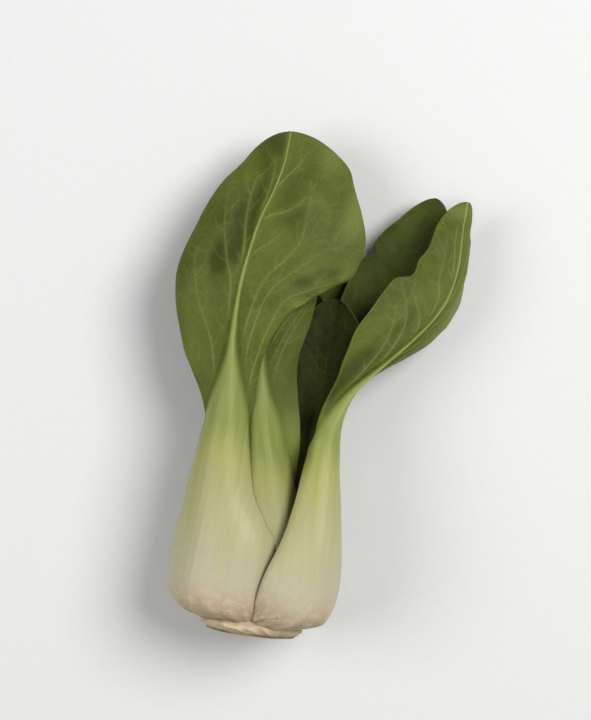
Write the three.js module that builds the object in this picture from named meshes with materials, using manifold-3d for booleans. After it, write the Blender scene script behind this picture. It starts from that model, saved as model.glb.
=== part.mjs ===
// A head of bok choy, cut at the root and lying on its back.
// Nine leaves grow from one short root stem. Each leaf is a thick pale stalk, whose midrib runs on
// up the back of a thin green blade. Three broad stalks wrap the outside of the bulb, three more
// show in the gaps between them, and three small ones fill the heart.
// Units are millimetres. +X is across the head, +Y runs from the root end to the leaf tips, and +Z is up.
// In the tables below y is the distance from the root end; the group is then moved so that the
// origin is in the middle of the small flat that the back stalk rests on.
import * as THREE from "three";
import { mergeVertices } from "three/addons/utils/BufferGeometryUtils.js";
import Module from "manifold-3d";

// Driving sizes
const restX = -3; // the middle of the flat under the back stalk
const restY = 54;
const bladeThick = 0.9;
const seam = 0.3; // gap between pieces that touch
const edgeThick = 1.3; // a stalk at its thin side edges
const crescent = 1.7; // how fast a stalk thins towards its edges: a higher power stays thick for longer
const outerRows = 15; // facets along an outer stalk and across it
const outerColumns = 8;
const innerRows = 12;
const innerColumns = 6;
const baseward = 1.6; // above 1, the facets are shorter towards the root
const rippleRamp = 30; // the blade's edge starts to ripple over this length
const midribEdge = 4; // a midrib under this thickness has thinner edges too
const axisX = -2.5; // the bulb's middle line
const axisZ = 31;

// The root stem: [distance along the head, radius], from the cut end to the growing point
const stemOutline = [
  [-3.4, 0],
  [-3.4, 18],
  [-2.8, 20.6],
  [-1.4, 23.4],
  [0.4, 24.6],
  [1.5, 14],
  [6, 9],
  [11, 6],
  [15, 3.4],
  [17, 0],
];
const stemSides = 24;

// Each leaf is a set of curves over y.
//   inner: starts the names of its finishes where it grows inside the three outer leaves
//   path: [y, x, z] of its middle line, on the inner face of the stalk and through the blade
//   facing: [y, angle] of the leaf's outer side, in degrees from +X towards +Z
//   stalk: [y, half width on the left, half width on the right, thickness], then the midrib
//   left, right: [y, blade width from the midrib to that edge, measured over the surface]
//   bendLeft, bendRight: [y, how far the surface has turned inwards at that edge, in degrees]
//   fold: [y, left, right], how steeply each half leaves the midrib, in degrees
//   wave: ripple of the edge as [height, length, start in degrees]
//   tip: [where the blade starts to round off, its end]
//   rows: where along the leaf the blade's facets begin and end, and columns: how many run across it
// Left and right are as seen from outside the leaf with its tip up.
const leaves = [
  {
    name: "front_right",
    inner: "",
    path: [
      [1, 11, 41.5],
      [6, 17.2, 46],
      [13, 19.3, 49],
      [24, 20.3, 50.6],
      [40, 20.8, 51.4],
      [60, 20.2, 50],
      [78, 19.2, 47.6],
      [97, 20.2, 44.6],
      [108, 24.4, 42.8],
      [115, 29, 41.6],
      [122, 35.6, 40.2],
      [134, 47.4, 37.5],
      [144, 56, 35],
      [154, 63, 33],
      [164, 67.8, 31.5],
      [176, 70, 30],
      [190, 70, 28],
      [208, 70.5, 24.5],
    ],
    facing: [
      [0, 50],
      [45, 48],
      [80, 38],
      [105, 40],
      [122, 46],
      [132, 56],
      [141, 62],
      [150, 60],
      [160, 54],
      [172, 48],
      [208, 48],
    ],
    stalk: [
      [1, 14, 12, 6.4],
      [3.5, 17.4, 15.4, 9.6],
      [6, 20, 18, 11],
      [14, 22.5, 24, 11],
      [26, 21.5, 26, 10.5],
      [45, 15.5, 21, 9.5],
      [62, 12, 17, 8.5],
      [80, 9.2, 13, 7],
      [88, 8.4, 10, 6.2],
      [97, 5.4, 7.2, 5.2],
      [112, 3.2, 3.2, 3.8],
      [135, 2.2, 2.2, 3],
      [165, 1.4, 1.4, 2.2],
      [194, 0.8, 0.8, 1.5],
    ],
    left: [
      [92, 6],
      [102, 6.5],
      [116, 10],
      [130, 20],
      [143, 29.5],
      [156, 31],
      [164, 29.5],
      [168.3, 27],
      [170.5, 20.5],
      [178, 19.5],
      [184, 16],
      [191, 13.5],
      [198, 11.5],
      [208, 9],
    ],
    right: [
      [92, 7.5],
      [102, 8],
      [116, 13],
      [130, 21],
      [143, 27.6],
      [160, 31.6],
      [175, 30.6],
      [190, 24],
      [208, 16],
    ],
    bendLeft: [
      [1, 58],
      [24, 40],
      [60, 30],
      [97, 20],
      [130, -10],
      [165, -8],
      [207, -5],
    ],
    bendRight: [
      [1, 58],
      [24, 58],
      [60, 50],
      [97, 40],
      [130, 55],
      [165, 60],
      [207, 50],
    ],
    fold: [
      [90, 0, 0],
      [112, 20, 10],
      [124, 30, 14],
      [134, 21, 14],
      [142, 17, 14],
      [150, 19, 14],
      [160, 26, 15],
      [172, 33, 15],
      [208, 28, 10],
    ],
    wave: [1.2, 34, 40],
    tip: [194, 208.8],
    rows: [
      92, 100, 108, 116, 124, 132, 140, 148, 156, 163, 168.3, 170.4, 177,
      184, 191, 198, 204, 207.4, 208.5,
    ],
    columns: 10,
  },
  {
    name: "front_left",
    inner: "",
    path: [
      [1, -14.5, 40],
      [6, -22, 44],
      [13, -24.8, 46.4],
      [24, -25.4, 47.6],
      [40, -24.8, 48.6],
      [60, -25.4, 48.8],
      [78, -26, 48.6],
      [97, -26.4, 48.2],
      [115, -27.4, 47.8],
      [135, -28.6, 47],
      [156, -28.4, 45.6],
      [175, -26, 43.4],
      [187, -23.6, 41.6],
      [200, -19.5, 38.6],
      [214, -16.5, 34.2],
      [229.8, -15.5, 28.5],
    ],
    facing: [
      [0, 128],
      [40, 122],
      [75, 108],
      [100, 96],
      [140, 92],
      [228, 90],
    ],
    stalk: [
      [1, 13, 15, 6.4],
      [3.5, 18, 20, 9.6],
      [6, 22, 24, 11],
      [14, 30, 29.5, 11],
      [26, 32.5, 32, 10.5],
      [40, 30, 31, 10],
      [50, 23.5, 25.5, 9.6],
      [62, 19, 17.5, 9],
      [80, 13, 13, 7.8],
      [97, 10.5, 10.5, 6.2],
      [112, 7, 7, 5],
      [135, 3.6, 3.6, 3.6],
      [165, 1.8, 1.8, 2.6],
      [205, 0.9, 0.9, 1.7],
    ],
    left: [
      [92, 10.5],
      [104, 14],
      [114, 19],
      [123, 24],
      [138, 29],
      [151, 30.5],
      [163, 31],
      [178, 30.6],
      [192, 28],
      [203, 24.2],
      [213, 19.5],
      [221, 17.5],
      [229.8, 16],
    ],
    right: [
      [92, 10.5],
      [105, 12],
      [120, 14],
      [135, 18],
      [145, 24],
      [151, 31],
      [156, 37],
      [161.5, 44.5],
      [165, 50.5],
      [171, 52.5],
      [178, 52.5],
      [186, 50],
      [197, 43.5],
      [206, 37.5],
      [214, 32.5],
      [222, 27],
      [229.8, 24],
    ],
    bendLeft: [
      [1, 58],
      [24, 60],
      [60, 50],
      [97, 34],
      [135, 40],
      [180, 44],
      [228, 36],
    ],
    bendRight: [
      [1, 62],
      [24, 66],
      [60, 52],
      [97, 30],
      [135, 30],
      [180, 34],
      [228, 20],
    ],
    fold: [
      [90, 0, 0],
      [115, -4, -4],
      [160, -9, -7],
      [228, -4, -2],
    ],
    wave: [1.6, 46, 10],
    tip: [214, 229.8],
    rows: [
      92, 101, 110, 119, 128, 137, 145, 152, 158.5, 165, 173, 182, 191, 200,
      208, 215, 221, 225.5, 228.2, 229.5,
    ],
    columns: 12,
  },
  {
    name: "back_middle",
    inner: "",
    path: [
      [1, -2.8, 20],
      [6, -3, 15.4],
      [13, -3, 12.2],
      [24, -3, 10.4],
      [44, -3.2, 9.8],
      [60, -3.6, 9.6],
      [78, -4, 9],
      [97, -3.6, 7.6],
      [115, -2.6, 6],
      [140, -1, 5],
      [165, 0, 4.4],
      [190, 0.5, 5],
      [212, 1, 7],
    ],
    facing: [
      [0, 270],
      [212, 270],
    ],
    stalk: [
      [1, 15, 15, 6.4],
      [3.5, 20, 20, 9.6],
      [6, 24, 24, 11],
      [14, 32, 32, 11],
      [26, 35, 35, 10.8],
      [45, 31, 31, 10],
      [62, 24, 24, 9.2],
      [80, 17, 17, 8],
      [97, 11.5, 11.5, 6.2],
      [112, 7.5, 7.5, 4.6],
      [135, 3.8, 3.8, 3.6],
      [165, 2.2, 2.2, 2.7],
      [200, 1, 1, 1.7],
    ],
    left: [
      [92, 12],
      [108, 15],
      [122, 22],
      [140, 27],
      [160, 26],
      [175, 23],
      [190, 19],
      [202, 16],
      [212, 13],
    ],
    right: [
      [92, 12],
      [108, 15],
      [122, 24],
      [140, 33],
      [160, 36],
      [180, 36],
      [197, 31],
      [212, 24],
    ],
    bendLeft: [
      [1, 58],
      [24, 46],
      [60, 36],
      [97, 22],
      [140, 6],
      [212, 12],
    ],
    bendRight: [
      [1, 58],
      [24, 46],
      [60, 36],
      [97, 22],
      [140, 6],
      [212, 12],
    ],
    fold: [
      [90, 0, 0],
      [120, 2, 2],
      [212, 3, 3],
    ],
    wave: [1.2, 40, 200],
    tip: [192, 212.5],
    rows: [
      92, 103, 114, 126, 139, 153, 167, 180, 191, 200, 206.5, 210.5, 212.1,
    ],
    columns: 8,
  },
  {
    name: "front_middle",
    inner: "inner_",
    path: [
      [6, -3, 39.5],
      [13, -2.5, 42.6],
      [24, -1.8, 44],
      [44, -1.2, 45],
      [60, -2.8, 45],
      [78, -6.4, 44.4],
      [97, -10.6, 43],
      [115, -13.8, 41],
      [140, -15.4, 38.4],
      [165, -14, 35],
      [185, -10.5, 31],
      [205, -7, 25.5],
    ],
    facing: [
      [0, 90],
      [60, 86],
      [100, 92],
      [205, 92],
    ],
    stalk: [
      [6, 10, 10, 7],
      [14, 17, 17, 7.5],
      [26, 20, 20, 7.5],
      [45, 19, 19, 7.4],
      [62, 15.5, 15.5, 7],
      [80, 11.5, 12.5, 6.2],
      [97, 8.5, 10, 5],
      [112, 5.5, 6.5, 4],
      [135, 3, 3.2, 3],
      [160, 1.9, 1.9, 2.2],
      [190, 1, 1, 1.5],
    ],
    left: [
      [68, 13.6],
      [80, 11],
      [92, 9.6],
      [108, 13],
      [125, 22],
      [145, 28],
      [165, 29],
      [185, 26],
      [205, 18],
    ],
    right: [
      [68, 14.4],
      [76, 16],
      [84, 17.4],
      [94, 18],
      [108, 17.6],
      [125, 18.4],
      [145, 23],
      [165, 25],
      [185, 23],
      [205, 17],
    ],
    bendLeft: [
      [6, 55],
      [24, 60],
      [60, 52],
      [97, 40],
      [140, 42],
      [205, 40],
    ],
    bendRight: [
      [6, 55],
      [24, 60],
      [60, 50],
      [76, 32],
      [97, 22],
      [140, 42],
      [205, 40],
    ],
    fold: [
      [66, 0, 0],
      [205, -3, -3],
    ],
    wave: [0.8, 36, 90],
    tip: [188, 205.5],
    rows: [
      68, 76, 85, 95, 106, 117, 129, 141, 153, 166, 178, 189, 197, 202, 205,
    ],
    columns: 8,
  },
  {
    name: "back_left",
    inner: "inner_",
    path: [
      [6, -15, 27.6],
      [13, -22, 25.6],
      [24, -25.5, 24.6],
      [44, -26, 24],
      [60, -25.5, 23],
      [78, -26, 21.6],
      [97, -28, 20],
      [115, -29.6, 18.4],
      [140, -31, 17],
      [165, -31, 16],
      [185, -30, 15.6],
      [204, -28, 16],
    ],
    facing: [
      [0, 200],
      [50, 204],
      [90, 232],
      [130, 258],
      [204, 262],
    ],
    stalk: [
      [6, 12, 12, 7.5],
      [14, 20, 20, 8.6],
      [26, 23, 23, 8.8],
      [45, 21, 21, 8.4],
      [62, 17, 17, 7.8],
      [80, 12.5, 12.5, 6.6],
      [97, 9.5, 9.5, 5.2],
      [112, 6, 6, 4.2],
      [135, 3.2, 3.2, 3.2],
      [160, 2, 2, 2.4],
      [190, 1, 1, 1.6],
    ],
    left: [
      [92, 9.5],
      [108, 13],
      [125, 22],
      [145, 28],
      [165, 30],
      [185, 27],
      [204, 20],
    ],
    right: [
      [92, 9.5],
      [108, 13],
      [125, 21.5],
      [145, 28.5],
      [165, 30],
      [185, 28],
      [204, 20],
    ],
    bendLeft: [
      [6, 60],
      [24, 64],
      [60, 56],
      [97, 40],
      [125, 10],
      [204, 6],
    ],
    bendRight: [
      [6, 60],
      [24, 64],
      [60, 56],
      [90, 32],
      [115, -16],
      [138, -58],
      [204, -60],
    ],
    fold: [
      [90, 0, 0],
      [120, 4, -6],
      [204, 4, -8],
    ],
    wave: [0.9, 38, 150],
    tip: [186, 204.5],
    rows: [92, 103, 114, 126, 138, 151, 165, 178, 188, 196, 201, 204],
    columns: 8,
  },
  {
    name: "back_right",
    inner: "inner_",
    path: [
      [6, 9, 27.6],
      [13, 16, 25.6],
      [24, 18.8, 24.6],
      [44, 18.4, 24],
      [60, 16.4, 22.6],
      [78, 14.4, 20.8],
      [97, 15, 18.6],
      [112, 19.2, 17],
      [125, 26, 15.4],
      [140, 33.5, 14],
      [165, 42.5, 12.4],
      [185, 47, 11.6],
      [200, 52, 12],
      [209, 56, 12.4],
    ],
    facing: [
      [0, 340],
      [50, 334],
      [90, 306],
      [130, 282],
      [209, 278],
    ],
    stalk: [
      [6, 12, 12, 7.5],
      [14, 20, 20, 8.6],
      [26, 23, 23, 8.8],
      [45, 21, 21, 8.4],
      [62, 17, 17, 7.8],
      [80, 12.5, 12.5, 6.6],
      [97, 9.5, 9.5, 5.2],
      [112, 6, 6, 4.2],
      [135, 3.2, 3.2, 3.2],
      [160, 2, 2, 2.4],
      [195, 1, 1, 1.6],
    ],
    right: [
      [92, 9.5],
      [108, 12],
      [125, 16],
      [145, 20],
      [165, 22],
      [177, 18.6],
      [179.6, 13.8],
      [184, 16.4],
      [192, 14],
      [197, 10.8],
      [202, 8.4],
      [209, 6],
    ],
    left: [
      [92, 9.5],
      [108, 11],
      [120, 13],
      [132, 17],
      [145, 21],
      [165, 21],
      [185, 17],
      [200, 12],
      [209, 8],
    ],
    bendLeft: [
      [6, 60],
      [24, 64],
      [60, 56],
      [97, 30],
      [125, 16],
      [207, 10],
    ],
    bendRight: [
      [6, 60],
      [24, 64],
      [60, 56],
      [97, 30],
      [125, 20],
      [207, 20],
    ],
    fold: [
      [90, 0, 0],
      [120, 5, 5],
      [207, 6, 6],
    ],
    wave: [0.9, 36, 60],
    tip: [200, 209.5],
    rows: [
      92, 104, 116, 128, 140, 152, 164, 173, 177.4, 180, 185, 191, 197, 202,
      206, 208.2, 209.3,
    ],
    columns: 8,
  },
  {
    name: "heart_right",
    inner: "inner_",
    path: [
      [12, 3, 33],
      [24, 8.4, 33.6],
      [44, 12.4, 33.6],
      [62, 13.2, 33.8],
      [80, 13.4, 33.8],
      [100, 14.6, 32.8],
      [120, 16, 31],
      [140, 16.8, 28.6],
      [155, 16.6, 26.4],
    ],
    facing: [
      [0, 322],
      [60, 310],
      [100, 292],
      [155, 284],
    ],
    stalk: [
      [12, 6, 6, 5],
      [26, 8, 8, 5.6],
      [45, 8, 8, 5.6],
      [62, 7.4, 7.4, 5.2],
      [80, 6.6, 6.6, 4.6],
      [97, 5, 5, 3.8],
      [115, 3.2, 3.2, 3],
      [134, 1.8, 1.8, 2.1],
      [146, 1, 1, 1.4],
    ],
    left: [
      [80, 7.4],
      [95, 10],
      [110, 14],
      [125, 16.5],
      [140, 17],
      [155, 15],
    ],
    right: [
      [80, 7.4],
      [95, 10],
      [110, 14],
      [125, 17],
      [140, 17.5],
      [155, 15],
    ],
    bendLeft: [
      [12, 50],
      [26, 56],
      [62, 50],
      [95, 34],
      [155, 30],
    ],
    bendRight: [
      [12, 50],
      [26, 56],
      [62, 50],
      [95, 34],
      [155, 34],
    ],
    fold: [
      [78, 0, 0],
      [100, 8, 8],
      [155, 6, 6],
    ],
    wave: [0.7, 26, 0],
    tip: [134, 155.5],
    rows: [80, 92, 104, 116, 128, 137, 145, 151, 155],
    columns: 6,
  },
  {
    name: "heart_left",
    inner: "inner_",
    path: [
      [12, -7, 33],
      [24, -10.6, 34.4],
      [44, -12, 34.6],
      [62, -13, 34],
      [80, -14.4, 33],
      [100, -16, 31.4],
      [120, -17, 29.4],
      [140, -17.4, 27],
      [162, -17, 24],
    ],
    facing: [
      [0, 150],
      [60, 140],
      [100, 118],
      [162, 112],
    ],
    stalk: [
      [12, 6.5, 6.5, 4.6],
      [26, 10, 10, 5],
      [45, 10, 10, 5],
      [62, 8.6, 8.6, 4.6],
      [80, 6.6, 6.6, 4],
      [97, 4.6, 4.6, 3.4],
      [115, 3, 3, 2.7],
      [135, 1.8, 1.8, 2],
      [150, 1, 1, 1.4],
    ],
    left: [
      [80, 7],
      [95, 9],
      [115, 12],
      [135, 13],
      [150, 12],
      [162, 10],
    ],
    right: [
      [80, 7],
      [95, 9],
      [115, 12],
      [135, 12],
      [150, 11],
      [162, 9],
    ],
    bendLeft: [
      [12, 60],
      [26, 62],
      [62, 55],
      [95, 45],
      [162, 50],
    ],
    bendRight: [
      [12, 60],
      [26, 62],
      [62, 55],
      [95, 40],
      [162, 45],
    ],
    fold: [
      [78, 0, 0],
      [100, 10, 10],
      [162, 8, 8],
    ],
    wave: [0.6, 24, 120],
    tip: [148, 162.5],
    rows: [80, 92, 104, 117, 130, 142, 152, 158, 162],
    columns: 6,
  },
  {
    name: "heart_back",
    inner: "inner_",
    path: [
      [12, -3, 26],
      [24, -3, 22.6],
      [44, -2.6, 21.8],
      [62, -2, 21.4],
      [80, -1, 20.6],
      [100, 0.5, 19.4],
      [120, 2, 18.2],
      [140, 3, 17.4],
      [158, 3.6, 17.6],
    ],
    facing: [
      [0, 268],
      [158, 272],
    ],
    stalk: [
      [12, 6.5, 6.5, 4.4],
      [26, 10, 10, 4.8],
      [45, 10, 10, 4.8],
      [62, 8.6, 8.6, 4.4],
      [80, 6.6, 6.6, 3.8],
      [97, 4.6, 4.6, 3.2],
      [115, 3, 3, 2.6],
      [135, 1.8, 1.8, 2],
      [148, 1, 1, 1.4],
    ],
    left: [
      [80, 7],
      [95, 10],
      [112, 14],
      [130, 15],
      [145, 13],
      [158, 10],
    ],
    right: [
      [80, 7],
      [95, 10],
      [112, 14],
      [130, 14],
      [145, 12],
      [158, 10],
    ],
    bendLeft: [
      [12, 60],
      [26, 60],
      [62, 52],
      [95, 34],
      [158, 30],
    ],
    bendRight: [
      [12, 60],
      [26, 60],
      [62, 52],
      [95, 34],
      [158, 30],
    ],
    fold: [
      [78, 0, 0],
      [100, 8, 8],
      [158, 10, 10],
    ],
    wave: [0.6, 22, 60],
    tip: [144, 158.5],
    rows: [80, 92, 104, 116, 128, 139, 148, 154, 158],
    columns: 6,
  },
];

// Each sub-part has its own material, made from one of these finishes.
const finishes = {
  stalk: { color: 0xd3d3a2, roughness: 0.42 },
  inner_stalk: { color: 0xa9b376, roughness: 0.42 },
  blade: { color: 0x5c7234, roughness: 0.5 },
  inner_blade: { color: 0x34471b, roughness: 0.45 },
  root_stem: { color: 0xcdb491, roughness: 0.7 },
};

const rad = THREE.MathUtils.degToRad;

// The value at y of a smooth curve through knots [y, value, value...], for the value in that column.
// Between two knots it is a cubic whose slopes are those of the chords on either side.
function along(knots, y, column = 1) {
  const last = knots.length - 1;
  if (y <= knots[0][0]) return knots[0][column];
  if (y >= knots[last][0]) return knots[last][column];
  const i = knots.findIndex((knot, n) => n < last && y < knots[n + 1][0]);
  const chord = (a, b) =>
    (knots[b][column] - knots[a][column]) / (knots[b][0] - knots[a][0]);
  const slope = (n) => chord(Math.max(n - 1, 0), Math.min(n + 1, last));
  const span = knots[i + 1][0] - knots[i][0];
  const t = (y - knots[i][0]) / span;
  const a = knots[i][column];
  const b = knots[i + 1][column];
  return (
    a * (1 + 2 * t) * (1 - t) ** 2 +
    b * t * t * (3 - 2 * t) +
    slope(i) * span * t * (1 - t) ** 2 -
    slope(i + 1) * span * t * t * (1 - t)
  );
}

// How much of its width a blade keeps at y: all of it up to tip[0], then rounded off as an ellipse is.
function tipRounding(leaf, y) {
  const t = Math.max(0, (y - leaf.tip[0]) / (leaf.tip[1] - leaf.tip[0]));
  return Math.sqrt(Math.max(0, 1 - t * t));
}

// Half width of the whole leaf surface at y on one side (-1 left, 1 right).
function reach(leaf, y, side) {
  const bladeStart = leaf.left[0][0];
  if (y < bladeStart) return along(leaf.stalk, y, side < 0 ? 1 : 2);
  return along(side < 0 ? leaf.left : leaf.right, y) * tipRounding(leaf, y);
}

// A point on the leaf at distance q over the surface from its middle line (negative to the left), raised
// by lift along the outward normal. The section in the plane of y leaves the middle at the fold angle
// and turns evenly, so each half is an arc.
function leafPoint(leaf, y, q, lift) {
  const side = q < 0 ? -1 : 1;
  const width = Math.max(reach(leaf, y, side), 0.01);
  const u = Math.abs(q) / width;
  const bend =
    rad(along(side < 0 ? leaf.bendLeft : leaf.bendRight, y)) || 1e-6;
  const start = rad(along(leaf.fold, y, side < 0 ? 1 : 2));
  const turn = start + bend * u;
  const across = (width * (Math.sin(turn) - Math.sin(start))) / bend;
  const out = (width * (Math.cos(turn) - Math.cos(start))) / bend;
  const [height, length, phase] = leaf.wave;
  const onBlade = Math.min(1, Math.max(0, (y - leaf.left[0][0]) / rippleRamp));
  const ripple =
    height *
    onBlade *
    u *
    u *
    Math.sin((2 * Math.PI * y) / length + rad(phase) + (side * Math.PI) / 3);
  const raise = (lift + ripple) / (q === 0 ? Math.cos(start) : 1);
  const tilt = q === 0 ? 0 : turn;
  const b = side * (across + raise * Math.sin(tilt));
  const n = out + raise * Math.cos(tilt);
  const facing = rad(along(leaf.facing, y));
  return [
    along(leaf.path, y, 1) + b * Math.sin(facing) + n * Math.cos(facing),
    y,
    along(leaf.path, y, 2) - b * Math.cos(facing) + n * Math.sin(facing),
  ];
}

// A closed slab between two grids of points, split into triangles alike on both faces.
function slab(rows, columns, outer, inner) {
  const positions = [];
  for (const face of [outer, inner])
    for (let i = 0; i <= rows; i++)
      for (let j = 0; j <= columns; j++) {
        const [x, y, z] = face(i, j);
        positions.push(x, y, z);
      }
  const id = (face, i, j) => (face * (rows + 1) + i) * (columns + 1) + j;
  const triangles = [];
  const quad = (a, b, c, d) => triangles.push(a, b, c, a, c, d);
  for (let i = 0; i < rows; i++)
    for (let j = 0; j < columns; j++) {
      quad(id(0, i, j), id(0, i, j + 1), id(0, i + 1, j + 1), id(0, i + 1, j));
      triangles.push(id(1, i, j), id(1, i + 1, j + 1), id(1, i, j + 1));
      triangles.push(id(1, i, j), id(1, i + 1, j), id(1, i + 1, j + 1));
    }
  for (let i = 0; i < rows; i++) {
    quad(id(0, i, 0), id(0, i + 1, 0), id(1, i + 1, 0), id(1, i, 0));
    quad(
      id(0, i, columns),
      id(1, i, columns),
      id(1, i + 1, columns),
      id(0, i + 1, columns),
    );
  }
  for (let j = 0; j < columns; j++) {
    quad(id(0, 0, j), id(1, 0, j), id(1, 0, j + 1), id(0, 0, j + 1));
    quad(
      id(0, rows, j),
      id(0, rows, j + 1),
      id(1, rows, j + 1),
      id(1, rows, j),
    );
  }
  return { positions, triangles };
}

// The thin blade, from the neck of the stalk to just short of the tip. grow thickens it all round.
function bladeSlab(leaf, grow = 0) {
  const last = leaf.rows.length - 1;
  const y = (i) => leaf.rows[i] + (i === 0 ? -grow : i === last ? grow / 2 : 0);
  const half = leaf.columns / 2;
  const q = (i, j) => {
    const u = (j - half) / half;
    return u * (reach(leaf, y(i), Math.sign(u) || 1) + grow);
  };
  const lift = bladeThick / 2 + grow;
  return slab(
    last,
    leaf.columns,
    (i, j) => leafPoint(leaf, y(i), q(i, j), lift),
    (i, j) => leafPoint(leaf, y(i), q(i, j), -lift),
  );
}

// The stalk and its midrib: a crescent section that bulges outwards from the leaf surface. The blade
// that lies along its inner face is cut out of it later.
function stalkSlab(leaf, grow = 0) {
  const from = leaf.stalk[0][0];
  const to = leaf.stalk.at(-1)[0];
  const [rows, columns] =
    from < 5 ? [outerRows, outerColumns] : [innerRows, innerColumns];
  const y = (i) => from + (to - from) * (i / rows) ** baseward;
  const u = (j) => Math.sin(((2 * j) / columns - 1) * (Math.PI / 2));
  const q = (i, j) =>
    u(j) * (along(leaf.stalk, y(i), u(j) < 0 ? 1 : 2) + grow);
  const thick = (i, j) => {
    const middle = along(leaf.stalk, y(i), 3);
    return (
      edgeThick * Math.min(1, middle / midribEdge) +
      middle * (1 - Math.abs(u(j)) ** crescent)
    );
  };
  return slab(
    rows,
    columns,
    (i, j) => leafPoint(leaf, y(i), q(i, j), thick(i, j) + grow),
    (i, j) => leafPoint(leaf, y(i), q(i, j), -grow),
  );
}

const wasm = await Module();
wasm.setup();

// A manifold-3d solid from positions and triangles.
function solid({ positions, triangles }) {
  return new wasm.Manifold(
    new wasm.Mesh({
      numProp: 3,
      vertProperties: new Float32Array(positions),
      triVerts: new Uint32Array(triangles),
    }),
  );
}

// The largest of the bodies in a solid.
function largest(made) {
  return made.decompose().reduce((a, b) => (b.volume() > a.volume() ? b : a));
}

// A named three.js mesh from a solid.
function subPart(name, made, finish) {
  const data = made.getMesh();
  const geometry = new THREE.BufferGeometry();
  geometry.setAttribute(
    "position",
    new THREE.BufferAttribute(new Float32Array(data.vertProperties), 3),
  );
  geometry.setIndex(new THREE.BufferAttribute(data.triVerts, 1));
  geometry.computeVertexNormals();
  const material = new THREE.MeshStandardMaterial(finishes[finish]);
  const mesh = new THREE.Mesh(geometry, material);
  mesh.name = name;
  return mesh;
}

// The root stem as rings of stemSides points, closed at both ends.
function stemSlab(grow = 0) {
  const rings = stemOutline.slice(1, -1);
  const positions = [axisX, stemOutline[0][0] - grow, axisZ];
  for (const [y, radius] of rings)
    for (let k = 0; k < stemSides; k++) {
      const angle = (2 * Math.PI * k) / stemSides;
      positions.push(
        axisX + (radius + grow) * Math.cos(angle),
        y + (y > 0 ? grow : -grow),
        axisZ + (radius + grow) * Math.sin(angle),
      );
    }
  positions.push(axisX, stemOutline.at(-1)[0] + grow, axisZ);
  const tip = positions.length / 3 - 1;
  const triangles = [];
  for (let k = 0; k < stemSides; k++) {
    const next = (k + 1) % stemSides;
    triangles.push(0, 1 + k, 1 + next);
    for (let i = 0; i < rings.length - 1; i++) {
      const low = 1 + i * stemSides;
      const high = low + stemSides;
      triangles.push(low + k, high + k, high + next);
      triangles.push(low + k, high + next, low + next);
    }
    const top = 1 + (rings.length - 1) * stemSides;
    triangles.push(top + k, tip, top + next);
  }
  return { positions, triangles };
}

// A box under z = 0, longer and wider than the head.
function boxBelow() {
  const corners = new THREE.BoxGeometry(200, 300, 20);
  corners.deleteAttribute("normal").deleteAttribute("uv");
  const box = mergeVertices(corners).translate(0, 100, -10);
  return {
    positions: box.attributes.position.array,
    triangles: box.index.array,
  };
}

const head = new THREE.Group();
head.position.set(-restX, -restY, 0);
head.add(subPart("root_stem", solid(stemSlab()), "root_stem"));

// Where a leaf presses on one placed before it, it is cut back clear of it. The back stalk is also cut
// flat by what the head lies on.
const placed = [solid(boxBelow()), solid(stemSlab(seam))];
for (const leaf of leaves) {
  const clear = (made) =>
    largest(placed.reduce((rest, other) => rest.subtract(other), made));
  const blade = clear(solid(bladeSlab(leaf)));
  placed.push(solid(bladeSlab(leaf, seam)));
  const stalk = clear(solid(stalkSlab(leaf)));
  placed.push(solid(stalkSlab(leaf, seam)));
  head.add(subPart("stalk_" + leaf.name, stalk, leaf.inner + "stalk"));
  head.add(subPart("blade_" + leaf.name, blade, leaf.inner + "blade"));
}

export default head;
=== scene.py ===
import math

import bpy
import numpy as np
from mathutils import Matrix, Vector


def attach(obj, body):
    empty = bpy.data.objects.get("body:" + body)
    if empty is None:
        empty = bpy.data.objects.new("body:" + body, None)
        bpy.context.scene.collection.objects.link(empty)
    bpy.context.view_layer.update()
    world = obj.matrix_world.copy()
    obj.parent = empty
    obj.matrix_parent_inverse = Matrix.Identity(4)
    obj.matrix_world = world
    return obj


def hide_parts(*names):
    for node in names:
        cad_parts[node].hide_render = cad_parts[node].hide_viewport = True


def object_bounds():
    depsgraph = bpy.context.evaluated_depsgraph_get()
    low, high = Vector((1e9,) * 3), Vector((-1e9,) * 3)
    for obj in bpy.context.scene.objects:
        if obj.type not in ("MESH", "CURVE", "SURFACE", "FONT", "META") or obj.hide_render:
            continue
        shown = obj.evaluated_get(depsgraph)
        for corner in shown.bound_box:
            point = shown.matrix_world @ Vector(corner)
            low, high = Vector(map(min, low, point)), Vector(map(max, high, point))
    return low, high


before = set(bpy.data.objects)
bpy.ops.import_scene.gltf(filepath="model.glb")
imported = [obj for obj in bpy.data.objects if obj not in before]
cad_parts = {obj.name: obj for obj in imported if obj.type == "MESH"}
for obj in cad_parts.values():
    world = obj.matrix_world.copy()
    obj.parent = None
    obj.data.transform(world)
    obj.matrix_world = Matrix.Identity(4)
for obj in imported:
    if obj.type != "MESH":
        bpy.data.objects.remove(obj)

bl_info = {
    "name": "Bok choy head",
    "version": (1, 0, 0),
    "blender": (4, 5, 0),
    "location": "3D View > Sidebar > Bok choy",
    "description": "A cut head of bok choy lying on its back, leaf by leaf",
    "category": "Add Mesh",
}

CAD_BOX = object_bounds()
MM = 0.001
REST = np.array([3.0, -54.0, 0.0])  # from the root end to the middle of the resting flat, in mm
PAD = 0.35  # a leaf keeps this far off the ones outside it, in mm
SHEET = 0.45  # half the thickness of a blade, in mm
LEAST = 0.8  # the two faces of a leaf stay this far apart, in mm
RIM = 1.2  # width of a leaf's rounded edge, in mm

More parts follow.
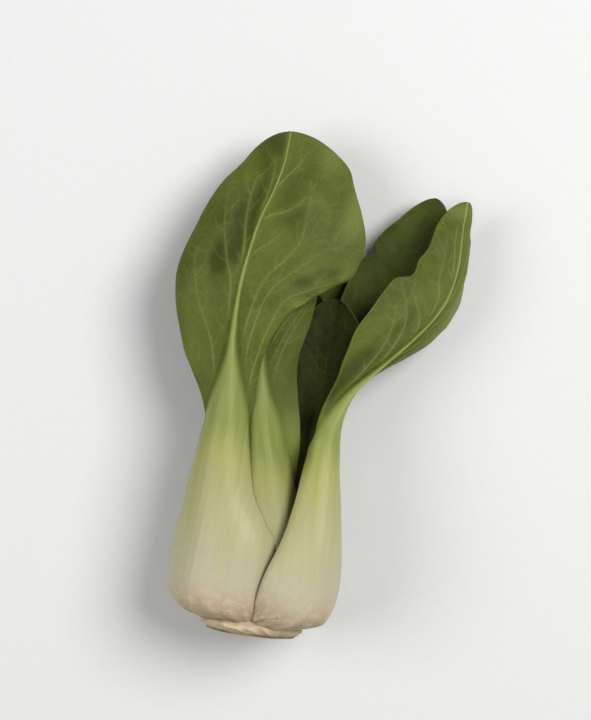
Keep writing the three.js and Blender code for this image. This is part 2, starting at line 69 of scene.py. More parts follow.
# Each leaf is a set of curves over y, the distance from the root end in mm.
#   path: (y, x, z) of its middle line, on the inner face of the stalk and through the blade
#   facing: (y, angle) of the outer side, in degrees from +X towards +Z
#   stalk: (y, half width on the left, half width on the right, thickness), then the midrib
#   width: (y, left, right) of the blade, measured over the surface from the midrib to the edge
#   bend: (y, left, right), how far the surface has turned inwards at the edge, in degrees
#   width_left, width_right, bend_left, bend_right: (y, value) where a side has its own rows
#   fold: (y, left, right), how steeply each half leaves the midrib, in degrees
#   one value stands for both sides where they are alike
#   wave: ripple of the edge as (height, length, start in degrees)
#   start, tip, end: where the blade starts, starts to round off, and ends
#   veins: side veins as (y, distance over the surface from the midrib), negative to the left
#   levels: how far each of those veins stands above the leaf, in mm
#   dents_and_painted_shade: hollows and swells as (y, distance from the midrib, length, breadth, height), in
#       mm, and
#     how much painted shade darkens the blade there, or painted light lightens it if that is negative
#   neck: where the stalk has narrowed to the midrib and turned green
#   tone_and_shade: 0 for an outer pale leaf up to 1 for a dark heart leaf, dark partly by its own colour and
#     partly as painted shade deep in the head
# The two back leaves' stalks up to their last row
SIDE_STALK = [(6, 12, 7.5), (14, 20, 8.6), (26, 23, 8.8), (45, 21, 8.4), (62, 17, 7.8), (80, 12.5, 6.6),
    (97, 9.5, 5.2), (112, 6, 4.2), (135, 3.2, 3.2), (160, 2, 2.4)]

LEAVES = {}
LEAVES["front_right"] = dict(
    path=[(1, 11, 41.5), (6, 17.2, 46), (13, 19.3, 49), (24, 20.3, 50.6), (40, 20.8, 51.4), (60, 20.2, 50),
        (78, 19.2, 47.6), (97, 20.2, 44.6), (108, 24.4, 42.8), (115, 29, 41.6), (122, 35.6, 40.2),
        (134, 47.4, 37.5), (144, 56, 35), (154, 63, 33), (164, 67.8, 31.5), (176, 70, 30), (190, 70, 28),
        (208, 70.5, 24.5)],
    facing=[(0, 50), (45, 48), (80, 38), (105, 40), (122, 46), (132, 56), (141, 62), (150, 60), (160, 54),
        (172, 48), (208, 48)],
    stalk=[(1, 14, 12, 6.4), (3.5, 17.4, 15.4, 9.6), (6, 20, 18, 11), (14, 22.5, 24, 11),
        (26, 21.5, 26, 10.5), (45, 15.5, 21, 9.5), (62, 12, 17, 8.5), (80, 9.2, 13, 7), (88, 8.4, 10, 6.2),
        (97, 5.4, 7.2, 5.2), (112, 3.2, 3.2, 3.8), (135, 2.2, 2.2, 3), (165, 1.4, 1.4, 2.2),
        (194, 0.8, 0.8, 1.5)],
    width_left=[(92, 6), (102, 6.5), (116, 10), (130, 20), (143, 29.5), (156, 31), (164, 29.5), (168.3, 27),
        (170.5, 20.5), (178, 19.5), (184, 16), (191, 13.5), (198, 11.5), (208, 9)],
    width_right=[(92, 7.5), (102, 8), (116, 13), (130, 21), (143, 27.6), (160, 31.6), (175, 30.6), (190, 24),
        (208, 16)],
    bend=[(1, 58, 58), (24, 40, 58), (60, 30, 50), (97, 20, 40), (130, -10, 55), (165, -8, 60),
        (207, -5, 50)],
    fold=[(90, 0, 0), (112, 20, 10), (124, 30, 14), (134, 21, 14), (142, 17, 14), (150, 19, 14),
        (160, 26, 15), (172, 33, 15), (208, 28, 10)],
    wave=(1.2, 34, 40), start=92, tip=194, end=208.5,
    veins=[
        [(104, -0.5), (112, -2), (119, -3.2), (126, -5), (138, -10), (145, -14.5), (152, -18.8), (158, -22)],
        [(122, -0.8), (129, -2), (137, -5), (147, -9.8), (154, -14.8), (161, -20), (166, -24)],
        [(136, -0.5), (146, -2.6), (152, -6.8), (159, -13.2), (165, -19)],
        [(138, -0.4), (150, -1.5), (157, -3.2), (164, -5.2), (170, -7.5), (178, -7.8), (191, -7)],
        [(166, -0.6), (176, -1.8), (186, -2.8), (197, -3)],
        [(108, 1), (124, 4), (140, 9), (155, 14.5), (168, 20)],
        [(120, 0.8), (138, 4), (156, 9), (172, 14), (186, 16)],
        [(138, 0.8), (154, 4), (172, 8), (190, 10)],
        [(154, 0.8), (172, 3.4), (190, 5.6), (202, 5.6)],
    ],
    levels=(-0.5, 0.5, -0.7, 0.8, 0, 0.5, -0.5, 0.5, 0),
    dents_and_painted_shade=[(150, -17, 12, 6, 1, 0), (166, -15, 10, 5, -0.7, 0.2), (186, -8, 14, 5, 0.6, 0.1),
        (122, -8, 18, 11, -0.5, 0.9), (146, -9, 14, 8, -0.3, 0.4), (160, 14, 28, 9, 0.5, -0.9),
        (204, 0, 5, 9, 0.4, -0.5)],
    neck=93, tone_and_shade=0,
)
LEAVES["front_left"] = dict(
    path=[(1, -14.5, 40), (6, -22, 44), (13, -24.8, 46.4), (24, -25.4, 47.6), (40, -24.8, 48.6),
        (60, -25.4, 48.8), (78, -26, 48.6), (97, -26.4, 48.2), (115, -27.4, 47.8), (135, -28.6, 47),
        (156, -28.4, 45.6), (175, -26, 43.4), (187, -23.6, 41.6), (200, -19.5, 38.6), (214, -16.5, 34.2),
        (229.8, -15.5, 28.5)],
    facing=[(0, 128), (40, 122), (75, 108), (100, 96), (140, 92), (228, 90)],
    stalk=[(1, 13, 15, 6.4), (3.5, 18, 20, 9.6), (6, 22, 24, 11), (14, 30, 29.5, 11), (26, 32.5, 32, 10.5),
        (40, 30, 31, 10), (50, 23.5, 25.5, 9.6), (62, 19, 17.5, 9), (80, 13, 13, 7.8), (97, 10.5, 10.5, 6.2),
        (112, 7, 7, 5), (135, 3.6, 3.6, 3.6), (165, 1.8, 1.8, 2.6), (205, 0.9, 0.9, 1.7)],
    width_left=[(92, 10.5), (104, 14), (114, 19), (123, 24), (138, 29), (151, 30.5), (163, 31), (178, 30.6),
        (192, 28), (203, 24.2), (213, 19.5), (221, 17.5), (229.8, 16)],
    width_right=[(92, 10.5), (105, 12), (120, 14), (135, 18), (145, 24), (151, 31), (156, 37), (161.5, 44.5),
        (165, 50.5), (171, 52.5), (178, 52.5), (186, 50), (197, 43.5), (206, 37.5), (214, 32.5), (222, 27),
        (229.8, 24)],
    bend=[(1, 58, 62), (24, 60, 66), (60, 50, 52), (97, 34, 30), (135, 40, 30), (180, 44, 34),
        (228, 36, 20)],
    fold=[(90, 0, 0), (115, -4, -4), (160, -9, -7), (228, -4, -2)],
    wave=(1.6, 46, 10), start=92, tip=214, end=229.5,
    veins=[
        [(112, 2), (132, 4.5), (146, 7), (154, 8.8), (160, 11), (168, 16.5), (176, 20.6), (184, 21.2),
         (194, 19), (208, 14)],
        [(98, 3), (120, 6), (140, 9.5), (153, 13.5), (164, 22.2), (170, 28.2), (177, 34), (186, 37.5)],
        [(94, 6), (116, 10), (136, 15), (151, 21.5), (157, 32), (160, 38.2), (163, 45), (167, 49.5)],
        [(164, 0.6), (170, 2), (177, 9.2), (182, 12)],
        [(186, 0.4), (189, 4.8), (191, 9.5), (194, 12.4), (199, 15.5)],
        [(202, 0.5), (208, 3), (214, 6.6), (222, 10.2)],
        [(96, -5), (112, -7), (129, -10.2), (142, -16.5), (151, -19.5), (160, -22.2), (170, -24.6)],
        [(118, -2), (138, -3.2), (156, -4.8), (166, -9), (175, -12.6), (189, -17.2), (198, -20)],
        [(158, -0.8), (170, -2.4), (176, -3.6), (190, -7.5), (198, -9.5), (206, -10)],
        [(184, -0.5), (194, -1.6), (204, -2.6), (216, -4.4)],
    ],
    levels=(0.9, -0.8, 0.9, 0.2, 0.3, -0.3, 0.4, 0.6, -0.3, -0.2),
    dents_and_painted_shade=[(186, -6, 28, 8, -1.6, 1.2), (167, -13, 8, 5, -1, 0.9), (150, -22, 24, 5, 0.8, -0.2),
        (172, 16, 7, 12, 0.7, -0.3), (188, 18, 13, 13, 0, 0.55), (166, 41, 4.5, 9, -0.8, 0.8),
        (159, 29, 4.5, 8, -0.7, 0.7), (206, 8, 14, 8, -0.8, 0.4), (140, 9, 18, 6, -0.9, 0.2),
        (222, -10, 12, 14, 0, 0.5), (132, -16, 16, 7, 0, 0.25), (196, 42, 20, 10, 0, -0.65),
        (220, 20, 14, 9, 0, -0.5), (150, 29, 4, 8, 0.3, -0.7), (157, 39, 4, 6, 0.3, -0.7),
        (162, 48, 4, 5, 0.3, -0.6), (214, -16, 12, 6, 0, -0.2)],
    tone_and_shade=0.05,
)
LEAVES["back_middle"] = dict(
    path=[(1, -2.8, 20), (6, -3, 15.4), (13, -3, 12.2), (24, -3, 10.4), (44, -3.2, 9.8), (60, -3.6, 9.6),
        (78, -4, 9), (97, -3.6, 7.6), (115, -2.6, 6), (140, -1, 5), (165, 0, 4.4), (190, 0.5, 5),
        (212, 1, 7)],
    facing=[(0, 270), (212, 270)],
    stalk=[(1, 15, 6.4), (3.5, 20, 9.6), (6, 24, 11), (14, 32, 11), (26, 35, 10.8), (45, 31, 10),
        (62, 24, 9.2), (80, 17, 8), (97, 11.5, 6.2), (112, 7.5, 4.6), (135, 3.8, 3.6), (165, 2.2, 2.7),
        (200, 1, 1.7)],
    width_left=[(92, 12), (108, 15), (122, 22), (140, 27), (160, 26), (175, 23), (190, 19), (202, 16),
        (212, 13)],
    width_right=[(92, 12), (108, 15), (122, 24), (140, 33), (160, 36), (180, 36), (197, 31), (212, 24)],
    bend=[(1, 58), (24, 46), (60, 36), (97, 22), (140, 6), (212, 12)],
    fold=[(90, 0), (120, 2), (212, 3)],
    wave=(1.2, 40, 200), start=92, tip=192, end=212.1, tone_and_shade=0.1,
)
LEAVES["front_middle"] = dict(
    path=[(6, -3, 39.5), (13, -2.5, 42.6), (24, -1.8, 44), (44, -1.2, 45), (60, -2.8, 45), (78, -6.4, 44.4),
        (97, -10.6, 43), (115, -13.8, 41), (140, -15.4, 38.4), (165, -14, 35), (185, -10.5, 31),
        (205, -7, 25.5)],
    facing=[(0, 90), (60, 86), (100, 92), (205, 92)],
    stalk=[(6, 10, 10, 7), (14, 17, 17, 7.5), (26, 20, 20, 7.5), (45, 19, 19, 7.4), (62, 15.5, 15.5, 7),
        (80, 11.5, 12.5, 6.2), (97, 8.5, 10, 5), (112, 5.5, 6.5, 4), (135, 3, 3.2, 3), (160, 1.9, 1.9, 2.2),
        (190, 1, 1, 1.5)],
    width_left=[(68, 13.6), (80, 11), (92, 9.6), (108, 13), (125, 22), (145, 28), (165, 29), (185, 26),
        (205, 18)],
    width_right=[(68, 14.4), (76, 16), (84, 17.4), (94, 18), (108, 17.6), (125, 18.4), (145, 23), (165, 25),
        (185, 23), (205, 17)],
    bend_left=[(6, 55), (24, 60), (60, 52), (97, 40), (140, 42), (205, 40)],
    bend_right=[(6, 55), (24, 60), (60, 50), (76, 32), (97, 22), (140, 42), (205, 40)],
    fold=[(66, 0), (205, -3)],
    wave=(0.8, 36, 90), start=68, tip=188, end=205,
    dents_and_painted_shade=[(84, 14, 18, 8, 0, -1)],
    neck=86, tone_and_shade=0.3,
)
LEAVES["back_left"] = dict(
    path=[(6, -15, 27.6), (13, -22, 25.6), (24, -25.5, 24.6), (44, -26, 24), (60, -25.5, 23),
        (78, -26, 21.6), (97, -28, 20), (115, -29.6, 18.4), (140, -31, 17), (165, -31, 16), (185, -30, 15.6),
        (204, -28, 16)],
    facing=[(0, 200), (50, 204), (90, 232), (130, 258), (204, 262)],
    stalk=[*SIDE_STALK, (190, 1, 1.6)],
    width=[(92, 9.5, 9.5), (108, 13, 13), (125, 22, 21.5), (145, 28, 28.5), (165, 30, 30), (185, 27, 28),
        (204, 20, 20)],
    bend_left=[(6, 60), (24, 64), (60, 56), (97, 40), (125, 10), (204, 6)],
    bend_right=[(6, 60), (24, 64), (60, 56), (90, 32), (115, -16), (138, -58), (204, -60)],
    fold=[(90, 0, 0), (120, 4, -6), (204, 4, -8)],
    wave=(0.9, 38, 150), start=92, tip=186, end=204, tone_and_shade=0.45,
)
LEAVES["back_right"] = dict(
    path=[(6, 9, 27.6), (13, 16, 25.6), (24, 18.8, 24.6), (44, 18.4, 24), (60, 16.4, 22.6), (78, 14.4, 20.8),
        (97, 15, 18.6), (112, 19.2, 17), (125, 26, 15.4), (140, 33.5, 14), (165, 42.5, 12.4),
        (185, 47, 11.6), (200, 52, 12), (209, 56, 12.4)],
    facing=[(0, 340), (50, 334), (90, 306), (130, 282), (209, 278)],
    stalk=[*SIDE_STALK, (195, 1, 1.6)],
    width_left=[(92, 9.5), (108, 11), (120, 13), (132, 17), (145, 21), (165, 21), (185, 17), (200, 12),
        (209, 8)],
    width_right=[(92, 9.5), (108, 12), (125, 16), (145, 20), (165, 22), (177, 18.6), (179.6, 13.8),
        (184, 16.4), (192, 14), (197, 10.8), (202, 8.4), (209, 6)],
    bend=[(6, 60, 60), (24, 64, 64), (60, 56, 56), (97, 30, 30), (125, 16, 20), (207, 10, 20)],
    fold=[(90, 0), (120, 5), (207, 6)],
    wave=(0.9, 36, 60), start=92, tip=200, end=209.3, tone_and_shade=0.5,
)
LEAVES["heart_right"] = dict(
    path=[(12, 3, 33), (24, 8.4, 33.6), (44, 12.4, 33.6), (62, 13.2, 33.8), (80, 13.4, 33.8),
        (100, 14.6, 32.8), (120, 16, 31), (140, 16.8, 28.6), (155, 16.6, 26.4)],
    facing=[(0, 322), (60, 310), (100, 292), (155, 284)],
    stalk=[(12, 6, 5), (26, 8, 5.6), (45, 8, 5.6), (62, 7.4, 5.2), (80, 6.6, 4.6), (97, 5, 3.8),
        (115, 3.2, 3), (134, 1.8, 2.1), (146, 1, 1.4)],
    width=[(80, 7.4, 7.4), (95, 10, 10), (110, 14, 14), (125, 16.5, 17), (140, 17, 17.5), (155, 15, 15)],
    bend=[(12, 50, 50), (26, 56, 56), (62, 50, 50), (95, 34, 34), (155, 30, 34)],
    fold=[(78, 0), (100, 8), (155, 6)],
    wave=(0.7, 26, 0), start=80, tip=134, end=155, tone_and_shade=0.9,
)
LEAVES["heart_left"] = dict(
    path=[(12, -7, 33), (24, -10.6, 34.4), (44, -12, 34.6), (62, -13, 34), (80, -14.4, 33), (100, -16, 31.4),
        (120, -17, 29.4), (140, -17.4, 27), (162, -17, 24)],
    facing=[(0, 150), (60, 140), (100, 118), (162, 112)],
    stalk=[(12, 6.5, 4.6), (26, 10, 5), (45, 10, 5), (62, 8.6, 4.6), (80, 6.6, 4), (97, 4.6, 3.4),
        (115, 3, 2.7), (135, 1.8, 2), (150, 1, 1.4)],
    width=[(80, 7, 7), (95, 9, 9), (115, 12, 12), (135, 13, 12), (150, 12, 11), (162, 10, 9)],
    bend=[(12, 60, 60), (26, 62, 62), (62, 55, 55), (95, 45, 40), (162, 50, 45)],
    fold=[(78, 0), (100, 10), (162, 8)],
    wave=(0.6, 24, 120), start=80, tip=148, end=162, tone_and_shade=0.95,
)
LEAVES["heart_back"] = dict(
    path=[(12, -3, 26), (24, -3, 22.6), (44, -2.6, 21.8), (62, -2, 21.4), (80, -1, 20.6), (100, 0.5, 19.4),
        (120, 2, 18.2), (140, 3, 17.4), (158, 3.6, 17.6)],
    facing=[(0, 268), (158, 272)],
    stalk=[(12, 6.5, 4.4), (26, 10, 4.8), (45, 10, 4.8), (62, 8.6, 4.4), (80, 6.6, 3.8), (97, 4.6, 3.2),
        (115, 3, 2.6), (135, 1.8, 2), (148, 1, 1.4)],
    width=[(80, 7, 7), (95, 10, 10), (112, 14, 14), (130, 15, 14), (145, 13, 12), (158, 10, 10)],
    bend=[(12, 60), (26, 60), (62, 52), (95, 34), (158, 30)],
    fold=[(78, 0), (100, 8), (158, 10)],
    wave=(0.6, 22, 60), start=80, tip=144, end=158, tone_and_shade=1,
)

# The root stem: (y, radius), round the head's axis at (x, z)
STEM = [(-3.4, 18), (-2.8, 20.6), (-1.4, 23.4), (0.4, 24.6), (1.2, 24), (3, 20), (7, 12), (11, 6), (15, 3.4)]
AXIS = (-2.5, 31)


def along(knots, y, column=1):
    """The value at y of a smooth curve through knots (y, value, ...): between two knots a cubic whose
    slope at each is that of the chord between its neighbours."""
    table = np.array(knots, float)
    ys, value = table[:, 0], table[:, column]
    n = np.arange(len(ys))
    low, high = np.maximum(n - 1, 0), np.minimum(n + 1, len(ys) - 1)
    slope = (value[high] - value[low]) / (ys[high] - ys[low])
    y = np.clip(y, ys[0], ys[-1])
    i = np.clip(np.searchsorted(ys, y, side="right") - 1, 0, len(ys) - 2)
    span = ys[i + 1] - ys[i]
    t = (y - ys[i]) / span
    return (
        value[i] * (1 + 2 * t) * (1 - t) ** 2
        + value[i + 1] * t * t * (3 - 2 * t)
        + slope[i] * span * t * (1 - t) ** 2
        - slope[i + 1] * span * t * t * (1 - t)
    )


def smooth(low, high, x):
    """0 below low, 1 above high, and the cubic 3t² - 2t³ between."""
    t = np.clip((x - low) / (high - low), 0, 1)
    return t * t * (3 - 2 * t)


def quarter(t):
    """A quarter circle's rise from 0 to 1: sqrt(1 - (1 - t)²)."""
    return np.sqrt(1 - (1 - np.clip(t, 0, 1)) ** 2)


def lumps(a, b, size, seed=0):
    """Smooth random hills from -1 to 1: a random height sin(127.1 i + 311.7 j + seed) × 43758.5453,
    less its whole part, at each corner of a square grid, blended between corners by 3t² - 2t³."""
    a, b = a / size, b / size
    i, j = np.floor(a), np.floor(b)
    u, v = smooth(0, 1, a - i), smooth(0, 1, b - j)

    def corner(m, n):
        height = np.sin((i + m) * 127.1 + (j + n) * 311.7 + seed) * 43758.5453
        return 2 * (height - np.floor(height)) - 1

    low = corner(0, 0) * (1 - u) + corner(1, 0) * u
    return low * (1 - v) + (corner(0, 1) * (1 - u) + corner(1, 1) * u) * v


def pick(leaf, key, y, right):
    """The right or left value at y, whichever side the point is on."""
    if key in leaf:
        last = -2 if key == "stalk" else -1
        return np.where(right, along(leaf[key], y, last), along(leaf[key], y))
    return np.where(right, along(leaf[key + "_right"], y), along(leaf[key + "_left"], y))


def half_width(leaf, y, right):
    """The stalk's half width up to the blade and the blade's width from there on, times the tip's
    quarter ellipse sqrt(1 - t²)."""
    start = leaf["start"]
    t = np.clip((y - leaf["tip"]) / (leaf["end"] - leaf["tip"]), 0, 1)
    blade = pick(leaf, "width", y, right) * np.sqrt(1 - t * t)
    on = smooth(start - 7, start + 3, y)
    return np.maximum(pick(leaf, "stalk", y, right) * (1 - on) + blade * on, 0.02)


def swell(leaf, y, q, u, right):
    """How far the blade's middle surface stands off its arc: a ripple that grows as u² towards the
    edge, and slow crossing waves of half a millimetre."""
    height, length, phase = leaf["wave"]
    on = np.clip((y - leaf["start"]) / 30, 0, 1)
    start = np.radians(phase) + np.where(right, 1, -1) * np.pi / 3
    ripple = height * u * u * np.sin(2 * np.pi * y / length + start)
    slow = np.sin(y / 9.1 + q / 6.3 + phase) * np.sin(y / 13.7 - q / 8.9 + 2 * phase)
    return on * (ripple + 0.55 * slow)


def thickness(leaf, y, q, right):
    """How far the outer and the inner face stand off the middle surface. A stalk is a crescent,
    middle × (1 - v^1.7) and a thin edge, with v the distance from the middle line over its half width.
    On the blade it is a midrib, middle × (1 - v²)^1.5, over a sheet 0.9 mm thick. Both end at the
    edge and the root in a quarter circle."""
    start, foot, last = leaf["start"], leaf["stalk"][0][0], leaf["stalk"][-1][0]
    middle = along(leaf["stalk"], y, -1)
    edge = 1.3 * np.minimum(1, middle / 4)
    v = np.clip(np.abs(q) / pick(leaf, "stalk", y, right), 0, 1)
    on = smooth(start - 14, start + 16, y)
    fade = 1 - smooth(last - 34, last + 3, y)
    crescent = middle * (1 - v**1.7) + edge
    low = 1 - 0.4 * smooth(start - 4, last, y) - 0.38 * smooth(start + 8, start + 45, y)
    rib = (middle + edge) * (1 - v * v) ** 1.5 * fade * low + SHEET
    width = half_width(leaf, y, right)
    margin = np.minimum(1.7 - 0.9 * on, width * 0.5)
    rim = quarter((width - np.abs(q)) / margin)
    root = 0.8 + 0.2 * quarter((y - foot) / 3)
    return ((1 - on) * crescent + on * rib) * rim * root, -SHEET * on * rim


def section(leaf, y, right):
    """Half width of a leaf's section at y, and its bend and fold in radians."""
    bend = np.radians(pick(leaf, "bend", y, right))
    bend = np.where(np.abs(bend) < 1e-4, 1e-4, bend)
    return half_width(leaf, y, right), bend, np.radians(pick(leaf, "fold", y, right))


def shifted(leaf, x, y, z, b, n):
    """Points moved by b across the leaf towards its right and by n out of it."""
    facing = np.radians(along(leaf["facing"], y))
    x = x + b * np.sin(facing) + n * np.cos(facing)
    return np.stack([x, y + 0 * x, z - b * np.cos(facing) + n * np.sin(facing)], -1)


def place(leaf, y, q, right, lift):
    """Points on the leaf at distance q over its surface from the middle line, raised by lift along the
    outward normal. The section in the plane of y is an arc on each side: it leaves the middle at the
    fold angle and turns evenly by the bend angle, across = w (sin turn - sin fold) / bend and
    out = w (cos turn - cos fold) / bend. The whole section faces the leaf's outer side. Within 2.5 mm
    of the middle line the raising direction swings over from one half's normal to the other's."""
    side = np.where(right, 1, -1)
    width, bend, fold = section(leaf, y, right)
    u = np.abs(q) / width
    turn = fold + bend * u
    raised = lift + swell(leaf, y, q, u, right)
    tilt = turn * smooth(0, 2.5, np.abs(q))
    b = side * (width * (np.sin(turn) - np.sin(fold)) / bend + raised * np.sin(tilt))
    n = width * (np.cos(turn) - np.cos(fold)) / bend + raised * np.cos(tilt)
    return shifted(leaf, along(leaf["path"], y, 1), y, along(leaf["path"], y, 2), b, n)


def pressed(points, other):
    """Points that lie in another leaf's thickness, moved along that leaf's normal to its inner face,
    or to its outer face if they are in the outermost tenth. Each point is put in the other leaf's
    own terms first: its angle round the section's arc and its height s = radius - arc radius."""
    x, y, z = points[..., 0], points[..., 1], points[..., 2]
    dx, dz = x - along(other["path"], y, 1), z - along(other["path"], y, 2)
    facing = np.radians(along(other["facing"], y))
    b, n = dx * np.sin(facing) - dz * np.cos(facing), dx * np.cos(facing) + dz * np.sin(facing)
    right = b >= 0
    width, bend, fold = section(other, y, right)
    radius = width / bend
    sign = np.sign(radius)
    across, out = np.abs(b) + radius * np.sin(fold), n + radius * np.cos(fold)
    turn = np.arctan2(sign * across, sign * out)
    u = (turn - fold) / bend
    q = np.where(right, 1, -1) * np.clip(u, 0, 1) * width
    s = sign * np.hypot(across, out) - radius - swell(other, y, q, np.clip(u, 0, 1), right)
    outer, inner = thickness(other, y, q, right)
    top, bottom = outer + PAD, inner - PAD
    inside = (u > -0.12) & (u < 1) & (s > bottom) & (s < top)
    inside &= (y > other["stalk"][0][0]) & (y < other["end"])
    target = np.where(s > bottom + 0.9 * (top - bottom), top, bottom)
    move = np.where(inside, target - s, 0)
    sideways = np.where(right, 1, -1) * move * np.sin(turn)
    return shifted(other, x, y, z, sideways, move * np.cos(turn))


def side_veins(leaf):
    """The leaf's side veins as (y, q) courses. Where the leaf names none, each half gets a family of
    them: vein k leaves the midrib at its own y, and its distance from it grows as t^1.3 while it runs
    a shortening length up the leaf, towards nine tenths of the half's width there."""
    if "veins" in leaf:
        return [np.array(course, float) for course in leaf["veins"]]
    start, end = leaf["start"] + 2, leaf["end"]
    t = np.linspace(0.02, 1, 9)
    made = []
    for k in range(6):
        for side in (-1, 1):
            foot = start + (end - start) * (k / 7.5 + 0.045 * (side > 0))
            y = foot + (end - foot) * (0.62 - 0.03 * k) * t
            q = side * half_width(leaf, y, np.full(y.shape, side > 0)) * 0.9 * t**1.3
            made.append(np.stack([y, q], 1))
    return made


def with_branches(courses):
    """Each side vein, and finer ones off it every 8 mm, on one side and then the other: each leaves
    at 40 degrees and turns back towards the vein's own direction over 6 to 11 mm. Gives (points,
    strength)."""
    made = []
    for n, course in enumerate(courses):
        step = np.r_[0, np.cumsum(np.hypot(*np.diff(course, axis=0).T))]
        s = np.linspace(0, step[-1], max(10, int(step[-1] / 2)))
        line = np.stack([along(np.stack([step, course[:, k]], 1), s) for k in (0, 1)], 1)
        made.append((line, 1.0))
        tangent = np.gradient(line, axis=0)
        tangent /= np.linalg.norm(tangent, axis=1)[:, None]
        for m, at in enumerate(np.arange(5 + (n % 3), step[-1] - 2, 8)):
            i = int(np.searchsorted(s, at))
            turn = (1 if (m + n) % 2 else -1) * np.radians(np.linspace(46, 16, 6))
            length = (6 + 5 * abs(math.sin(3.1 * n + 1.7 * m))) / 6
            heading = math.atan2(*tangent[i][::-1]) + turn
            path = np.stack([np.cos(heading), np.sin(heading)], 1) * length
            made.append((line[i] + np.r_[[(0, 0)], np.cumsum(path, axis=0)], 0.42))
    return made


def vein_field(leaf, y, q):
    """How close each point is to a vein, as a narrow and a wide hill exp(-(distance/width)²) around
    the nearest segment of any vein, weaker towards its end. Also how far the blade stands off there:
    each side vein lifts or sinks the blade round it by its own level, level × exp(-(distance/5)²)."""
    narrow, wide, panel = np.zeros(y.shape), np.zeros(y.shape), np.zeros(y.shape)
    levels = list(leaf.get("levels", ()))
    for line, strength in with_branches(side_veins(leaf)):
        level = levels.pop(0) if strength == 1 and levels else 0
        low, high = line.min(0) - 12, line.max(0) + 12
        near = (y > low[0]) & (y < high[0]) & (q > low[1]) & (q < high[1])
        py, pq = y[near], q[near]
        fine, broad, least = narrow[near], wide[near], np.full(py.shape, 99.0)
        for i in range(len(line) - 1):
            (ay, aq), (by, bq) = line[i], line[i + 1]
            t = ((py - ay) * (by - ay) + (pq - aq) * (bq - aq)) / ((by - ay) ** 2 + (bq - aq) ** 2)
            t = np.clip(t, 0, 1)
            away = np.hypot(py - ay - t * (by - ay), pq - aq - t * (bq - aq))
            left = 1 - (i + t) / len(line)
            power = strength * (0.35 + 0.65 * left)
            thin = 0.22 + 0.28 * strength * left
            fine = np.maximum(fine, power * np.exp(-((away / thin) ** 2)))
            broad = np.maximum(broad, strength * np.exp(-((away / 3.2) ** 2)))
            least = np.minimum(least, away)
        narrow[near], wide[near] = fine, broad
        panel[near] += level * np.exp(-((least / 5) ** 2))
    return narrow, wide, panel


def dents_and_painted_shade(leaf, y, q):
    """Broad hollows and swells in a blade, and the painted shade that darkens it there, or the painted
    light that lightens it where that is negative: for each in the table its height and its shade
    times a hill exp(-((y - y0) / length)² - ((q - q0) / breadth)²), kept to its own side of the midrib."""
    height, shade = np.zeros(y.shape), np.zeros(y.shape)
    # dark is painted shade laid over the blade, and painted light where it is negative
    for y0, q0, length, breadth, tall, dark in leaf.get("dents_and_painted_shade", ()):
        hill = np.exp(-(((y - y0) / length) ** 2) - ((q - q0) / breadth) ** 2)
        hill = hill * (smooth(0, 2.5, np.sign(q0) * q) if q0 else 1)
        height, shade = height + tall * hill, shade + dark * hill
    return height, np.clip(shade, -1, 1)


def stations(leaf, step):
    """Where the rows of points lie: closer over the rounded foot, evenly up the leaf, and over the
    tip at y = a + (b - a) sin(angle) so that they crowd towards its end."""
    foot, tip, end = leaf["stalk"][0][0], leaf["tip"], leaf["end"]
    first = foot - 0.8 + 5.8 * np.linspace(0, 1, 14) ** 1.6
    main = np.linspace(foot + 5, tip, int((tip - foot - 5) / step) + 1)[1:]
    turn = np.linspace(0, math.pi / 2 - 0.03, int((end - tip) / step * 1.6) + 4)[1:]
    return np.r_[first, main, tip + (end - tip) * np.sin(turn)]


def ring(front, back):
    """Rows of points over the outer face and back along the inner one, which share their edges."""
    return np.concatenate([front, back[:, -2:0:-1]], 1)


def leaf_grid(leaf, step, half):
    """Rows y up the leaf, the distances q of their points from the middle line, evenly from edge to
    edge with four closer ones over each rounded edge, and which points are on the right."""
    y = stations(leaf, step)[:, None]
    places = np.r_[np.linspace(0, 1, half - 4), 1.45, 1.8, 1.95, 2]

    def side_q(right):
        width = half_width(leaf, y, np.full(y.shape, right))
        rim = np.minimum(RIM, width * 0.45)
        return np.minimum(places, 1) * (width - rim) + np.maximum(places - 1, 0) * rim

    q = np.concatenate([-side_q(False)[:, ::-1], side_q(True)[:, 1:]], 1)
    right = np.broadcast_to(np.arange(q.shape[1]) >= half - 1, q.shape)
    return np.broadcast_to(y, q.shape), q, right


def leaf_faces(rows, across, count):
    """Quads between closed rows of count points, and strips that join the two faces, each across
    points wide, at the foot and the tip."""
    index = np.arange(rows * count).reshape(rows, count)
    nxt = np.roll(index, -1, 1)
    quads = np.stack([index[:-1], nxt[:-1], nxt[1:], index[1:]], -1).reshape(-1, 4)
    near = np.arange(across - 1)
    far, far_next = (count - near) % count, (count - near - 1) % count
    foot = np.stack([near, far, far_next, near + 1], -1)
    tip = np.stack([near, near + 1, far_next, far], -1) + (rows - 1) * count
    return quads.tolist() + [[*dict.fromkeys(face)] for face in (*foot.tolist(), *tip.tolist())]


